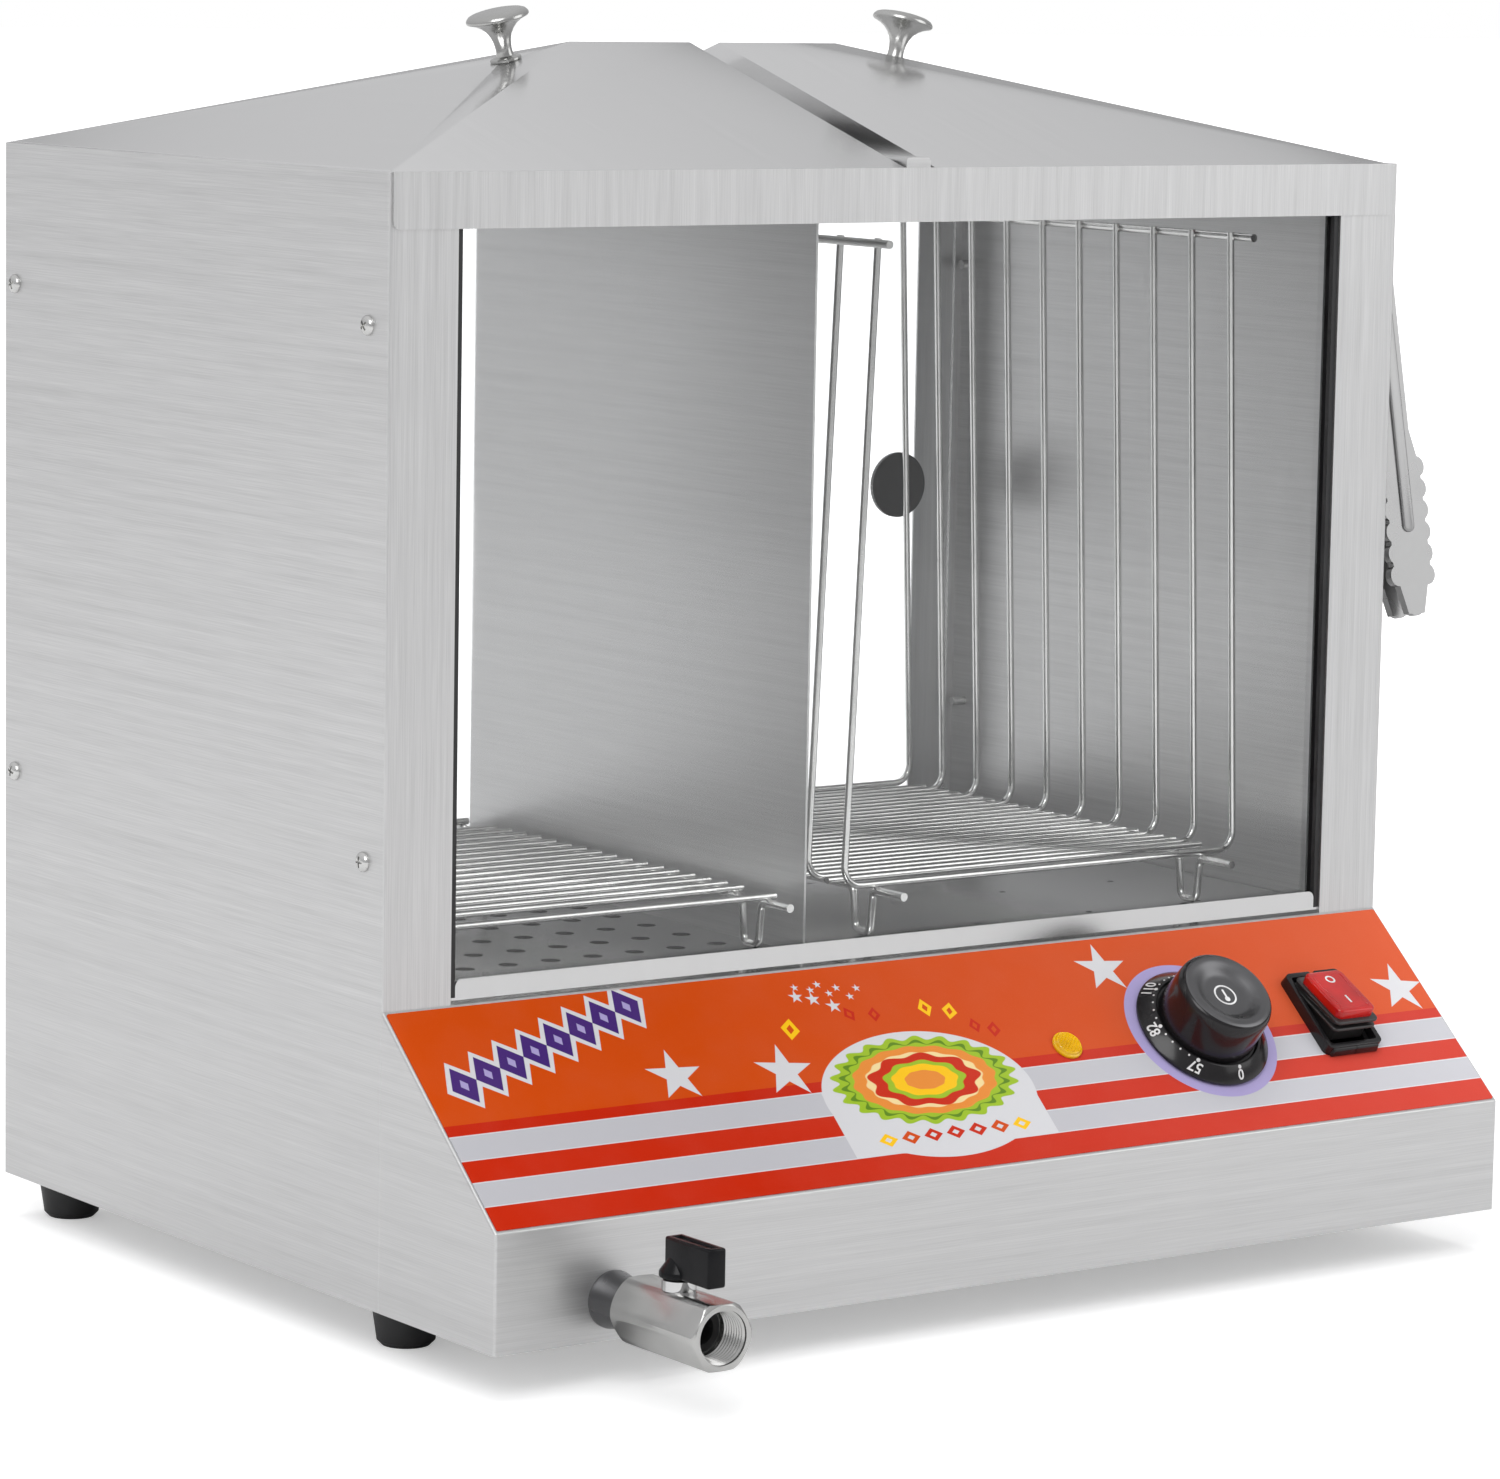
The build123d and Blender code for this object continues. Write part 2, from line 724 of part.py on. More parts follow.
# Cord gland in the rear wall, bored for the mains cord.
with BuildPart() as cord_gland:
    with BuildSketch(Plane(origin=(middle_x + gland_x, rear_y, gland_z), z_dir=(0, 1, 0))):
        Circle(gland_body_radius - gland_flange)
        Circle(cord_bore, mode=Mode.SUBTRACT)
    extrude(amount=-8)
    with BuildSketch(Plane(origin=(middle_x + gland_x, rear_y, gland_z), z_dir=(0, 1, 0))):
        RegularPolygon(gland_body_radius, 6, major_radius=False)
        Circle(cord_bore, mode=Mode.SUBTRACT)
    extrude(amount=7)
    with BuildSketch(Plane(origin=(middle_x + gland_x, rear_y + 7, gland_z), z_dir=(0, 1, 0))):
        Circle(gland_body_radius - 1)
    extrude(amount=gland_length - 7, taper=14)
    with BuildSketch(Plane(origin=(middle_x + gland_x, rear_y + 6, gland_z), z_dir=(0, 1, 0))):
        Circle(cord_bore)
    extrude(amount=gland_length, mode=Mode.SUBTRACT)
cord_gland.part.label = "cord_gland"
export_step(cord_gland.part, "parts/cord_gland.step")

# ---------------------------------------------------------------- cabinet walls


def side_panel(side):
    """One wall: folded round into the front post and the rear post, with a top flange."""
    outer = middle_x + side * width / 2
    with BuildPart() as panel:
        with BuildSketch(Plane.XY.offset(seam_z)):
            with BuildLine():
                folds = Polyline(
                    (outer - side * front_post_width, front_y),
                    (outer, front_y),
                    (outer, rear_y),
                    (outer - side * rear_post_width, rear_y),
                )
                inner = Side.LEFT if side > 0 else Side.RIGHT
                offset(folds, amount=sheet, side=inner, kind=Kind.INTERSECTION)
            make_face()
        extrude(amount=wall_height)
        fillet(
            edges().filter_by(Axis.Z).filter_by(lambda edge: abs(edge.center().X - outer) < 0.01),
            fold_radius,
        )
        edge = sorted((outer, outer - side * top_flange))
        with BuildSketch(Plane.XY.offset(wall_top - sheet)):
            with BuildLine():
                corner = FilletPolyline(
                    (outer - side * top_flange, front_y),
                    (outer, front_y),
                    (outer, rear_y),
                    (outer - side * top_flange, rear_y),
                    radius=fold_radius,
                )
                Line(corner @ 0, corner @ 1)
            make_face()
        extrude(amount=sheet)
        # the posts stop under the rails' flanges
        notch = sorted((outer - side * top_flange, outer - side * (front_post_width + sheet)))
        for low, high in ((front_y - sheet, front_y + sheet), (rear_y - sheet, rear_y + sheet)):
            slab(
                (notch[0], low, wall_top - sheet),
                (notch[1], high, wall_top + sheet),
                mode=Mode.SUBTRACT,
            )
        # clearance holes for the screws
        for y in (front_y + side_screw_front, rear_y - side_screw_rear):
            for z in (seam_z + side_screw_low, seam_z + side_screw_high):
                with Locations(Location((outer, y, z), (0, 90, 0))):
                    Cylinder(screw_radius + screw_clearance, 6 * sheet, mode=Mode.SUBTRACT)
        if side > 0:
            for z in (hook_z - hook_screw_pitch / 2, hook_z + hook_screw_pitch / 2):
                with Locations(Location((outer, front_y + hook_setback, z), (0, 90, 0))):
                    Cylinder(screw_radius + screw_clearance, 6 * sheet, mode=Mode.SUBTRACT)
    return panel.part


left_side_panel = side_panel(-1)
left_side_panel.label = "left_side_panel"
export_step(left_side_panel, "parts/left_side_panel.step")
right_side_panel = side_panel(1)
right_side_panel.label = "right_side_panel"
export_step(right_side_panel, "parts/right_side_panel.step")

# Front top rail: laid over both posts, with a top flange under the lids' front edge.
window_half = width / 2 - front_post_width
return_half = window_half - seal_show - door_clearance
with BuildPart() as front_top_rail:
    with BuildSketch(Plane.XZ.offset(-front_y)):
        with Locations((middle_x, wall_top - top_rail_height / 2)):
            Rectangle(width - 2 * top_rail_overhang, top_rail_height)
        fillet(vertices().group_by(Axis.Y)[0], rail_corner)
    extrude(amount=sheet)
    slab(
        (middle_x - width / 2 + top_flange, front_y - sheet, wall_top - sheet),
        (middle_x + width / 2 - top_flange, front_y + top_flange, wall_top),
    )
    slab(
        (middle_x - return_half, front_y - sheet, wall_top - top_rail_height),
        (middle_x + return_half, front_y + glass_gap, wall_top - top_rail_height + sheet),
    )
front_top_rail.part.label = "front_top_rail"
export_step(front_top_rail.part, "parts/front_top_rail.step")

# Front bottom rail: a low strip between the posts that the window stands on.
glass_y = front_y + glass_gap
bottom_rail_z = seam_z + bottom_rail_gap
with BuildPart() as front_bottom_rail:
    with BuildSketch(Plane.XZ.offset(-front_y - sheet)):
        with Locations((middle_x, bottom_rail_z + bottom_rail_height / 2)):
            Rectangle(2 * (window_half - bottom_rail_inset), bottom_rail_height)
        fillet(vertices().group_by(Axis.Y)[-1], rail_corner)
    extrude(amount=-sheet)
    slab(
        (middle_x - window_half, front_y + sheet, bottom_rail_z),
        (middle_x + window_half, front_y + top_flange, bottom_rail_z + sheet),
    )
front_bottom_rail.part.label = "front_bottom_rail"
export_step(front_bottom_rail.part, "parts/front_bottom_rail.step")

# Window glass, and the rubber channels along its two upright edges.
glass_half = window_half + seal_grip
glass_top = wall_top - 2 * sheet
with BuildPart() as front_glass:
    with BuildSketch(Plane.XZ.offset(-glass_y)):
        with Locations((middle_x, (bottom_rail_z + sheet + glass_top) / 2)):
            Rectangle(2 * glass_half, glass_top - bottom_rail_z - sheet)
    extrude(amount=-glass_thickness)
    chamfer(edges().filter_by(Axis.Z), 0.4)
front_glass.part.label = "front_glass"
export_step(front_glass.part, "parts/front_glass.step")

seal_width = seal_grip + seal_show + seal_wall
seal_depth = glass_gap - sheet + glass_thickness + seal_wall
seal_x = window_half - seal_show + seal_width / 2
with BuildPart() as glass_seals:
    with BuildSketch(Plane.XY.offset(bottom_rail_z + sheet)):
        for side in (-1, 1):
            with Locations((middle_x + side * seal_x, front_y + sheet + seal_depth / 2)):
                Rectangle(seal_width, seal_depth)
        with Locations((middle_x, glass_y + glass_thickness / 2)):
            Rectangle(2 * glass_half, glass_thickness, mode=Mode.SUBTRACT)
    extrude(amount=glass_top - bottom_rail_z - sheet)
glass_seals.part.label = "glass_seals"
export_step(glass_seals.part, "parts/glass_seals.step")

# Rear rails: a top rail and a sill between the rear posts.
rear_half = width / 2 - rear_post_width
with BuildPart() as rear_top_rail:
    with BuildSketch(Plane.XZ.offset(-rear_y)):
        with Locations((middle_x, wall_top - top_rail_height / 2)):
            Rectangle(width - 2 * top_rail_overhang, top_rail_height)
        fillet(vertices().group_by(Axis.Y)[0], rail_corner)
    extrude(amount=-sheet)
    slab(
        (middle_x - width / 2 + top_flange, rear_y - top_flange, wall_top - sheet),
        (middle_x + width / 2 - top_flange, rear_y + sheet, wall_top),
    )
rear_top_rail.part.label = "rear_top_rail"
export_step(rear_top_rail.part, "parts/rear_top_rail.step")

with BuildPart() as rear_sill:
    with BuildSketch(Plane.YZ.offset(middle_x - rear_half)):
        with BuildLine():
            fold = Polyline(
                (rear_y, seam_z + sill_height),
                (rear_y, seam_z),
                (rear_y - top_flange, seam_z),
            )
            offset(fold, amount=sheet, side=Side.RIGHT, kind=Kind.INTERSECTION)
        make_face()
    extrude(amount=2 * rear_half)
rear_sill.part.label = "rear_sill"
export_step(rear_sill.part, "parts/rear_sill.step")

# Rear door tracks: two grooves each, the lower one on the sill.
slot_width_y = door_thickness + 2 * door_clearance
track_depth_y = 2 * slot_width_y + 3 * track_wall
track_y = rear_y - sheet - track_depth_y
track_half = width / 2 - sheet - door_clearance
groove_y = [track_y + track_wall + i * (slot_width_y + track_wall) for i in (0, 1)]


def door_track(base, upwards):
    """A double-groove track along X, with its grooves open upwards or downwards."""
    with BuildPart() as track:
        with BuildSketch(Plane.YZ.offset(middle_x - track_half)):
            with Locations((track_y + track_depth_y / 2, base + upwards * track_depth / 2)):
                Rectangle(track_depth_y, track_depth)
            for y in groove_y:
                with Locations((y + slot_width_y / 2, base + upwards * (track_depth / 2 + track_wall))):
                    Rectangle(slot_width_y, track_depth, mode=Mode.SUBTRACT)
        extrude(amount=2 * track_half)
    return track.part


bottom_track_z = seam_z + sheet
top_track_z = wall_top - sheet
bottom_door_track = door_track(bottom_track_z, 1)
bottom_door_track.label = "bottom_door_track"
export_step(bottom_door_track, "parts/bottom_door_track.step")
top_door_track = door_track(top_track_z, -1)
top_door_track.label = "top_door_track"
export_step(top_door_track, "parts/top_door_track.step")

# Rear doors: two clear panes that pass each other, each with a flush finger pull.
door_bottom = bottom_track_z + track_wall + door_clearance
door_top = top_track_z - track_wall - door_clearance
door_outer = width / 2 - 2 * sheet - 10
door_width = door_outer + door_overlap / 2


def rear_door(side, y):
    """One sliding pane with its hole for the finger pull."""
    centre_x = middle_x + side * (door_outer - door_width / 2)
    pull_x = middle_x + side * (door_outer - finger_inset)
    with BuildPart() as door:
        with BuildSketch(Plane.XZ.offset(-y)):
            with Locations((centre_x, (door_bottom + door_top) / 2)):
                RectangleRounded(door_width, door_top - door_bottom, 2)
            with Locations((pull_x, (door_bottom + door_top) / 2)):
                Circle(finger_radius, mode=Mode.SUBTRACT)
        extrude(amount=-door_thickness)
    return door.part


def finger_pull(side, y):
    """A dished disc, flush in the pane."""
    pull_x = middle_x + side * (door_outer - finger_inset)
    back = Plane(
        origin=(pull_x, y + door_thickness, (door_bottom + door_top) / 2), z_dir=(0, 1, 0)
    )
    with BuildPart() as pull:
        with BuildSketch(back):
            Circle(finger_radius)
        extrude(amount=-door_thickness)
        with BuildSketch(back):
            Circle(finger_radius - 2)
        extrude(amount=-0.7 * door_thickness, taper=20, mode=Mode.SUBTRACT)
    return pull.part


door_y = [y + door_clearance for y in groove_y]
left_rear_door = rear_door(-1, door_y[1])
left_rear_door.label = "left_rear_door"
export_step(left_rear_door, "parts/left_rear_door.step")
right_rear_door = rear_door(1, door_y[0])
right_rear_door.label = "right_rear_door"
export_step(right_rear_door, "parts/right_rear_door.step")
left_finger_pull = finger_pull(-1, door_y[1])
left_finger_pull.label = "left_finger_pull"
export_step(left_finger_pull, "parts/left_finger_pull.step")
right_finger_pull = finger_pull(1, door_y[0])
right_finger_pull.label = "right_finger_pull"
export_step(right_finger_pull, "parts/right_finger_pull.step")

# ---------------------------------------------------------------- roof

# Centre beam: a hat section under the lids' inner edges, with a rib between them.
with BuildPart() as roof_beam:
    with BuildSketch(Plane.XZ.offset(-front_y - top_flange)):
        with BuildLine():
            fold = Polyline(
                (roof_split_x - beam_half_width, wall_top - beam_leg),
                (roof_split_x - beam_half_width, wall_top),
                (roof_split_x + beam_half_width, wall_top),
                (roof_split_x + beam_half_width, wall_top - beam_leg),
            )
            offset(fold, amount=sheet, side=Side.RIGHT, kind=Kind.INTERSECTION)
        make_face()
    extrude(amount=-(depth - 2 * top_flange))
    with BuildSketch(Plane.XZ.offset(-front_y - sheet)):
        with Locations((roof_split_x, wall_top + rib_height / 2)):
            Rectangle(rib_width, rib_height)
        fillet(vertices().group_by(Axis.Y)[-1], 1.5)
    extrude(amount=-(depth - 2 * sheet))
roof_beam.part.label = "roof_beam"
export_step(roof_beam.part, "parts/roof_beam.step")


def lid_knob_frame(side):
    """Where a lid knob stands: on the middle of the end slope, square to it."""
    inner = roof_split_x + side * lid_gap / 2
    run = lid_width - ridge_length
    drop = (lid_knob_setback - ridge_length) * lid_rise / run
    return Plane(
        origin=(inner + side * lid_knob_setback, middle_y, wall_top + lid_rise - drop),
        x_dir=(0, 1, 0),
        z_dir=(side * lid_rise, 0, run),
    )


def roof_lid(side):
    """A hipped lid: gable end at the roof's middle, three slopes, open underneath."""
    inner = roof_split_x + side * lid_gap / 2
    outer = inner + side * lid_width
    hip = Plane(
        origin=(outer, middle_y, wall_top),
        x_dir=(0, 1, 0),
        z_dir=(side * lid_rise, 0, lid_width - ridge_length),
    )
    with BuildPart() as lid:
        with BuildSketch(Plane.YZ.offset(inner)):
            with BuildLine():
                Polyline(
                    (front_y, wall_top),
                    (middle_y, wall_top + lid_rise),
                    (rear_y, wall_top),
                    close=True,
                )
            make_face()
        extrude(amount=side * lid_width)
        split(bisect_by=hip, keep=Keep.BOTTOM)
        offset(amount=-sheet, openings=faces().sort_by(Axis.Z)[0], kind=Kind.INTERSECTION)
        with Locations(lid_knob_frame(side)):
            Cylinder(screw_radius, 6 * sheet, mode=Mode.SUBTRACT)
        # turned-in rim with a lip that drops inside the flanges
        lip_outer = middle_x + side * (width / 2 - top_flange - lip_clearance)
        lip_inner = roof_split_x + side * (beam_half_width + lip_clearance)
        lip_x = (lip_outer + lip_inner) / 2
        lip_width = abs(lip_outer - lip_inner)
        lip_length = depth - 2 * (top_flange + lip_clearance)
        with BuildSketch(Plane.XY.offset(wall_top)):
            with Locations(((inner + outer) / 2, middle_y)):
                Rectangle(lid_width - 2 * sheet, depth - 4 * sheet)
            with Locations((lip_x, middle_y)):
                Rectangle(lip_width - 2 * sheet, lip_length - 2 * sheet, mode=Mode.SUBTRACT)
        extrude(amount=sheet / 2)
        with BuildSketch(Plane.XY.offset(wall_top + sheet / 2)):
            with Locations((lip_x, middle_y)):
                RectangleRounded(lip_width, lip_length, 3)
                RectangleRounded(lip_width - 2 * sheet, lip_length - 2 * sheet, 2, mode=Mode.SUBTRACT)
        extrude(amount=-lip_depth - sheet / 2)
    return lid.part


left_lid = roof_lid(-1)
left_lid.label = "left_lid"
export_step(left_lid, "parts/left_lid.step")
right_lid = roof_lid(1)
right_lid.label = "right_lid"
export_step(right_lid, "parts/right_lid.step")


def turned(place, direction, outline, mode=Mode.ADD):
    """A turned shape from (radius, height) points, about a line through place."""
    up = Vector(direction).normalized()
    across = Vector(0, 1, 0) if abs(up.Y) < 0.01 else Vector(1, 0, 0)
    plane = Plane(origin=place, x_dir=across, z_dir=across.cross(up))
    with BuildSketch(plane) as profile:
        with BuildLine():
            Polyline(*outline, close=True)
        make_face()
    revolve(profile.sketch, axis=Axis(place, direction), mode=mode)


def bent_wire(points, radius, bend):
    """A round wire along points, with its corners bent."""
    with BuildLine() as path:
        FilletPolyline(*points, radius=bend)
    start = Vector(*points[0])
    with BuildSketch(Plane(origin=start, z_dir=Vector(*points[1]) - start)) as disc:
        Circle(radius)
    sweep(disc.sketch, path=path.line)


def straight_wire(start, end, radius):
    """A straight round wire between two points."""
    span = Vector(*end) - Vector(*start)
    with BuildSketch(Plane(origin=start, z_dir=span)) as disc:
        Circle(radius)
    extrude(disc.sketch, amount=span.length)


# Lid knobs: a collar, a thin neck and a flared cap, square to the end slopes.
def lid_knob(side):
    """One lid knob with the stud that goes through the lid."""
    place = lid_knob_frame(side).origin
    direction = lid_knob_frame(side).z_dir
    with BuildPart() as knob:
        turned(
            place,
            direction,
            [
                (0, 0), (6.5, 0), (6.5, 1.2), (3.6, 1.8), (3.4, 6), (4.2, 10), (7, 14),
                (11, 16.5), (lid_knob_cap_radius, 17.2), (lid_knob_cap_radius, 18.6),
                (11.5, 20.2), (6, lid_knob_height), (0, lid_knob_height),
            ],
        )
        turned(place, direction, [(0, -8), (screw_radius, -8), (screw_radius, 0), (0, 0)])
        turned(place, direction, [(0, -4), (4, -4), (4, -sheet), (0, -sheet)])
    return knob.part


left_lid_knob = lid_knob(-1)
left_lid_knob.label = "left_lid_knob"
export_step(left_lid_knob, "parts/left_lid_knob.step")
right_lid_knob = lid_knob(1)
right_lid_knob.label = "right_lid_knob"
export_step(right_lid_knob, "parts/right_lid_knob.step")

# ---------------------------------------------------------------- chamber floor and partition

plate_front = front_y + plate_margin
plate_length = depth - 2 * plate_margin

# Perforated plate over the water in the hot dog chamber.
steam_left = left_x + plate_margin
steam_right = partition_x - plate_gap / 2
with BuildPart() as steam_plate:
    slab((steam_left, plate_front, rim_z), (steam_right, plate_front + plate_length, plate_z))
    with BuildSketch(Plane.XY.offset(rim_z)):
        with Locations(((steam_left + steam_right) / 2 + 2, middle_y)):
            with GridLocations(steam_pitch_x, steam_pitch_y, steam_columns, steam_rows):
                Circle(steam_hole_radius)
    extrude(amount=plate_thickness, mode=Mode.SUBTRACT)
steam_plate.part.label = "steam_plate"
export_step(steam_plate.part, "parts/steam_plate.step")

# Plate under the bun chamber, with a few small steam holes.
bun_left = partition_x + plate_gap / 2
bun_right = right_x - plate_margin
with BuildPart() as bun_plate:
    slab((bun_left, plate_front, rim_z), (bun_right, plate_front + plate_length, plate_z))
    with BuildSketch(Plane.XY.offset(rim_z)):
        with Locations(((bun_left + bun_right) / 2, middle_y)):
            with GridLocations(bun_pitch_x, bun_pitch_y, 4, 4):
                Circle(bun_hole_radius)
    extrude(amount=plate_thickness, mode=Mode.SUBTRACT)
bun_plate.part.label = "bun_plate"
export_step(bun_plate.part, "parts/bun_plate.step")

# Partition between the chambers, up to the roof beam, with a foot on the bun plate.
with BuildPart() as partition:
    with BuildSketch(Plane.XZ.offset(-front_y - partition_front)):
        with BuildLine():
            fold = Polyline(
                (partition_x - sheet / 2, wall_top - sheet),
                (partition_x - sheet / 2, plate_z),
                (partition_x + partition_foot, plate_z),
            )
            offset(fold, amount=sheet, side=Side.LEFT, kind=Kind.INTERSECTION)
        make_face()
    extrude(amount=-(depth - partition_front - partition_rear))
partition.part.label = "partition"
export_step(partition.part, "parts/partition.step")

# ---------------------------------------------------------------- wire racks

rod_z = plate_z + rod_height
wire_z = rod_z + rod_radius + wire_radius - weld_sink
leg_z = plate_z + rest_gap + rod_radius
wire_pitch = hoop_pitch / (wires_between + 1)


def legged_rod(x, front, rear, leg_front, leg_rear):
    """A rod along Y that dips into a leg near each end."""
    points = [(x, front, rod_z)]
    for y in (leg_front, leg_rear):
        points += [
            (x, y - leg_half_width - leg_flare, rod_z),
            (x, y - leg_half_width, leg_z),
            (x, y + leg_half_width, leg_z),
            (x, y + leg_half_width + leg_flare, rod_z),
        ]
    points.append((x, rear, rod_z))
    bent_wire(points, rod_radius, leg_bend)


# Hot dog rack: two rods with legs, and cross wires welded on top of them.
hot_left = left_x + hot_rack_left
hot_right = partition_x - hot_rack_right
hot_wire_y = [front_y + hot_wire_front + i * hot_wire_pitch for i in range(hot_wire_places)]
with BuildPart() as hot_dog_rack_rods:
    for x in (hot_left + hot_rod_inset, hot_right - hot_rod_inset):
        legged_rod(x, front_y + rod_front, rear_y - rod_rear, hot_wire_y[1], hot_wire_y[-2])
hot_dog_rack_rods.part.label = "hot_dog_rack_rods"
export_step(hot_dog_rack_rods.part, "parts/hot_dog_rack_rods.step")

with BuildPart() as hot_dog_rack_wires:
    for i, y in enumerate(hot_wire_y):
        if i not in (1, hot_wire_places - 2):
            straight_wire((hot_left, y, wire_z), (hot_right, y, wire_z), wire_radius)
hot_dog_rack_wires.part.label = "hot_dog_rack_wires"
export_step(hot_dog_rack_wires.part, "parts/hot_dog_rack_wires.step")

# Bun rack: tall wire hoops between two rods with legs below and two rods above.
hoop_y = [front_y + hoop_front + i * hoop_pitch for i in range(hoop_count)]
hoop_top_z = wall_top - hoop_top_gap
top_rod_half = hoop_top_half + rod_radius + wire_radius - weld_sink
with BuildPart() as bun_rack_rods:
    for side in (-1, 1):
        legged_rod(
            bun_rack_x + side * bun_rod_half,
            front_y + rod_front,
            rear_y - rod_rear,
            hoop_y[0] + wire_pitch,
            hoop_y[-1] - wire_pitch,
        )
        x = bun_rack_x + side * top_rod_half
        straight_wire(
            (x, hoop_y[0] - top_rod_ahead, hoop_top_z - top_rod_drop),
            (x, rear_y - rod_rear, hoop_top_z - top_rod_drop),
            rod_radius,
        )
bun_rack_rods.part.label = "bun_rack_rods"
export_step(bun_rack_rods.part, "parts/bun_rack_rods.step")

with BuildPart() as bun_rack_hoops:
    for y in hoop_y:
        bent_wire(
            [
                (bun_rack_x - hoop_top_half, y, hoop_top_z),
                (bun_rack_x - hoop_bottom_half, y, wire_z),
                (bun_rack_x + hoop_bottom_half, y, wire_z),
                (bun_rack_x + hoop_top_half, y, hoop_top_z),
            ],
            wire_radius,
            hoop_bend,
        )
bun_rack_hoops.part.label = "bun_rack_hoops"
export_step(bun_rack_hoops.part, "parts/bun_rack_hoops.step")

with BuildPart() as bun_rack_wires:
    for i in range(1, (hoop_count - 1) * (wires_between + 1)):
        skipped = i in (1, (hoop_count - 1) * (wires_between + 1) - 1)
        if i % (wires_between + 1) and not skipped:
            y = hoop_y[0] + i * wire_pitch
            straight_wire(
                (bun_rack_x - bun_wire_half, y, wire_z),
                (bun_rack_x + bun_wire_half, y, wire_z),
                wire_radius,
            )
bun_rack_wires.part.label = "bun_rack_wires"
export_step(bun_rack_wires.part, "parts/bun_rack_wires.step")

# ---------------------------------------------------------------- controls

outward = (0, -sin(radians(slope_angle)), cos(radians(slope_angle)))
knob_place = slope.from_local_coords((knob_x, 0, 0))
lamp_place = slope.from_local_coords((lamp_x, 0, 0))

# Thermostat behind the panel, with the threaded bush that comes through it.
with BuildPart() as thermostat_body:
    turned(
        knob_place,
        outward,
        [
            (running_clearance + shaft_radius, bush_height), (bush_radius, bush_height),
            (bush_radius, -sheet), (thermostat_radius, -sheet),
            (thermostat_radius, -sheet - thermostat_length), (0, -sheet - thermostat_length),
            (0, -6), (running_clearance + shaft_radius, -6),
        ],
    )
thermostat_body.part.label = "thermostat_body"
export_step(thermostat_body.part, "parts/thermostat_body.step")

# Thermostat shaft, up into the knob.
with BuildPart() as thermostat_shaft:
    turned(knob_place, outward, [(0, -5.5), (shaft_radius, -5.5), (shaft_radius, 18), (0, 18)])
thermostat_shaft.part.label = "thermostat_shaft"
export_step(thermostat_shaft.part, "parts/thermostat_shaft.step")

# Thermostat knob: a dial skirt under a round body with a dished cap.
knob_base = label_thickness + knob_gap
with BuildPart() as thermostat_knob:
    turned(
        knob_place,
        outward,
        [
            (bush_radius + 1, knob_base), (knob_skirt_radius - 0.6, knob_base),
            (knob_skirt_radius, knob_base + 0.6), (knob_skirt_radius, knob_base + 1.4),
            (knob_skirt_top_radius, knob_skirt_height), (knob_body_radius, knob_skirt_height),
            (knob_cap_radius + 0.4, knob_height - 3), (knob_cap_radius - 0.5, knob_height - 1),
            (knob_cap_radius - 3, knob_height), (knob_cap_radius - 6, knob_height - 0.4),
            (knob_cap_radius - 11, knob_height - knob_dish), (0, knob_height - knob_dish),
            (0, 18), (shaft_radius, 18), (shaft_radius, bush_height + 1),
            (bush_radius + 1, bush_height + 1),
        ],
    )
thermostat_knob.part.label = "thermostat_knob"
export_step(thermostat_knob.part, "parts/thermostat_knob.step")

# Thermostat bulb on the tank wall, with its capillary tube.
bulb_y = front_y + tank_margin - bulb_radius
bulb_z = heater_z + 6
bulb_left = middle_x + bulb_x - bulb_length / 2
bulb_right = middle_x + bulb_x + bulb_length / 2
tube_x = knob_place.X + tube_offset
tube_start = knob_place - Vector(*outward) * (sheet + thermostat_length)
tube_knee = tube_start - Vector(*outward) * tube_drop
with BuildPart() as capillary_bulb:
    straight_wire((bulb_left, bulb_y, bulb_z), (bulb_right, bulb_y, bulb_z), bulb_radius)
    bent_wire(
        [
            (bulb_right, bulb_y, bulb_z),
            (bulb_right + 8, bulb_y, bulb_z),
            (bulb_right + 8, tube_knee.Y, tube_knee.Z),
            (tube_x, tube_knee.Y, tube_knee.Z),
            (tube_x, tube_start.Y, tube_start.Z),
        ],
        tube_radius,
        4,
    )
capillary_bulb.part.label = "capillary_bulb"
export_step(capillary_bulb.part, "parts/capillary_bulb.step")

# Pilot lamp: a flat lens with a rim, and the lamp body behind the panel.
with BuildPart() as pilot_lamp_lens:
    turned(
        lamp_place,
        outward,
        [
            (0, label_thickness), (lamp_radius, label_thickness),
            (lamp_radius, label_thickness + 1.0), (lamp_radius - 0.8, label_thickness + 1.4),
            (lamp_radius - 1.1, lamp_height - 0.5), (lamp_radius - 1.8, lamp_height),
            (0, lamp_height),
        ],
    )
pilot_lamp_lens.part.label = "pilot_lamp_lens"
export_step(pilot_lamp_lens.part, "parts/pilot_lamp_lens.step")

with BuildPart() as pilot_lamp_body:
    turned(
        lamp_place,
        outward,
        [
            (0, label_thickness), (lamp_body_radius, label_thickness),
            (lamp_body_radius, -sheet), (lamp_body_radius + 1.5, -sheet),
            (lamp_body_radius + 1.5, -sheet - 3), (lamp_body_radius, -sheet - 3),
            (lamp_body_radius, -lamp_body_length), (0, -lamp_body_length),
        ],
    )
pilot_lamp_body.part.label = "pilot_lamp_body"
export_step(pilot_lamp_body.part, "parts/pilot_lamp_body.step")

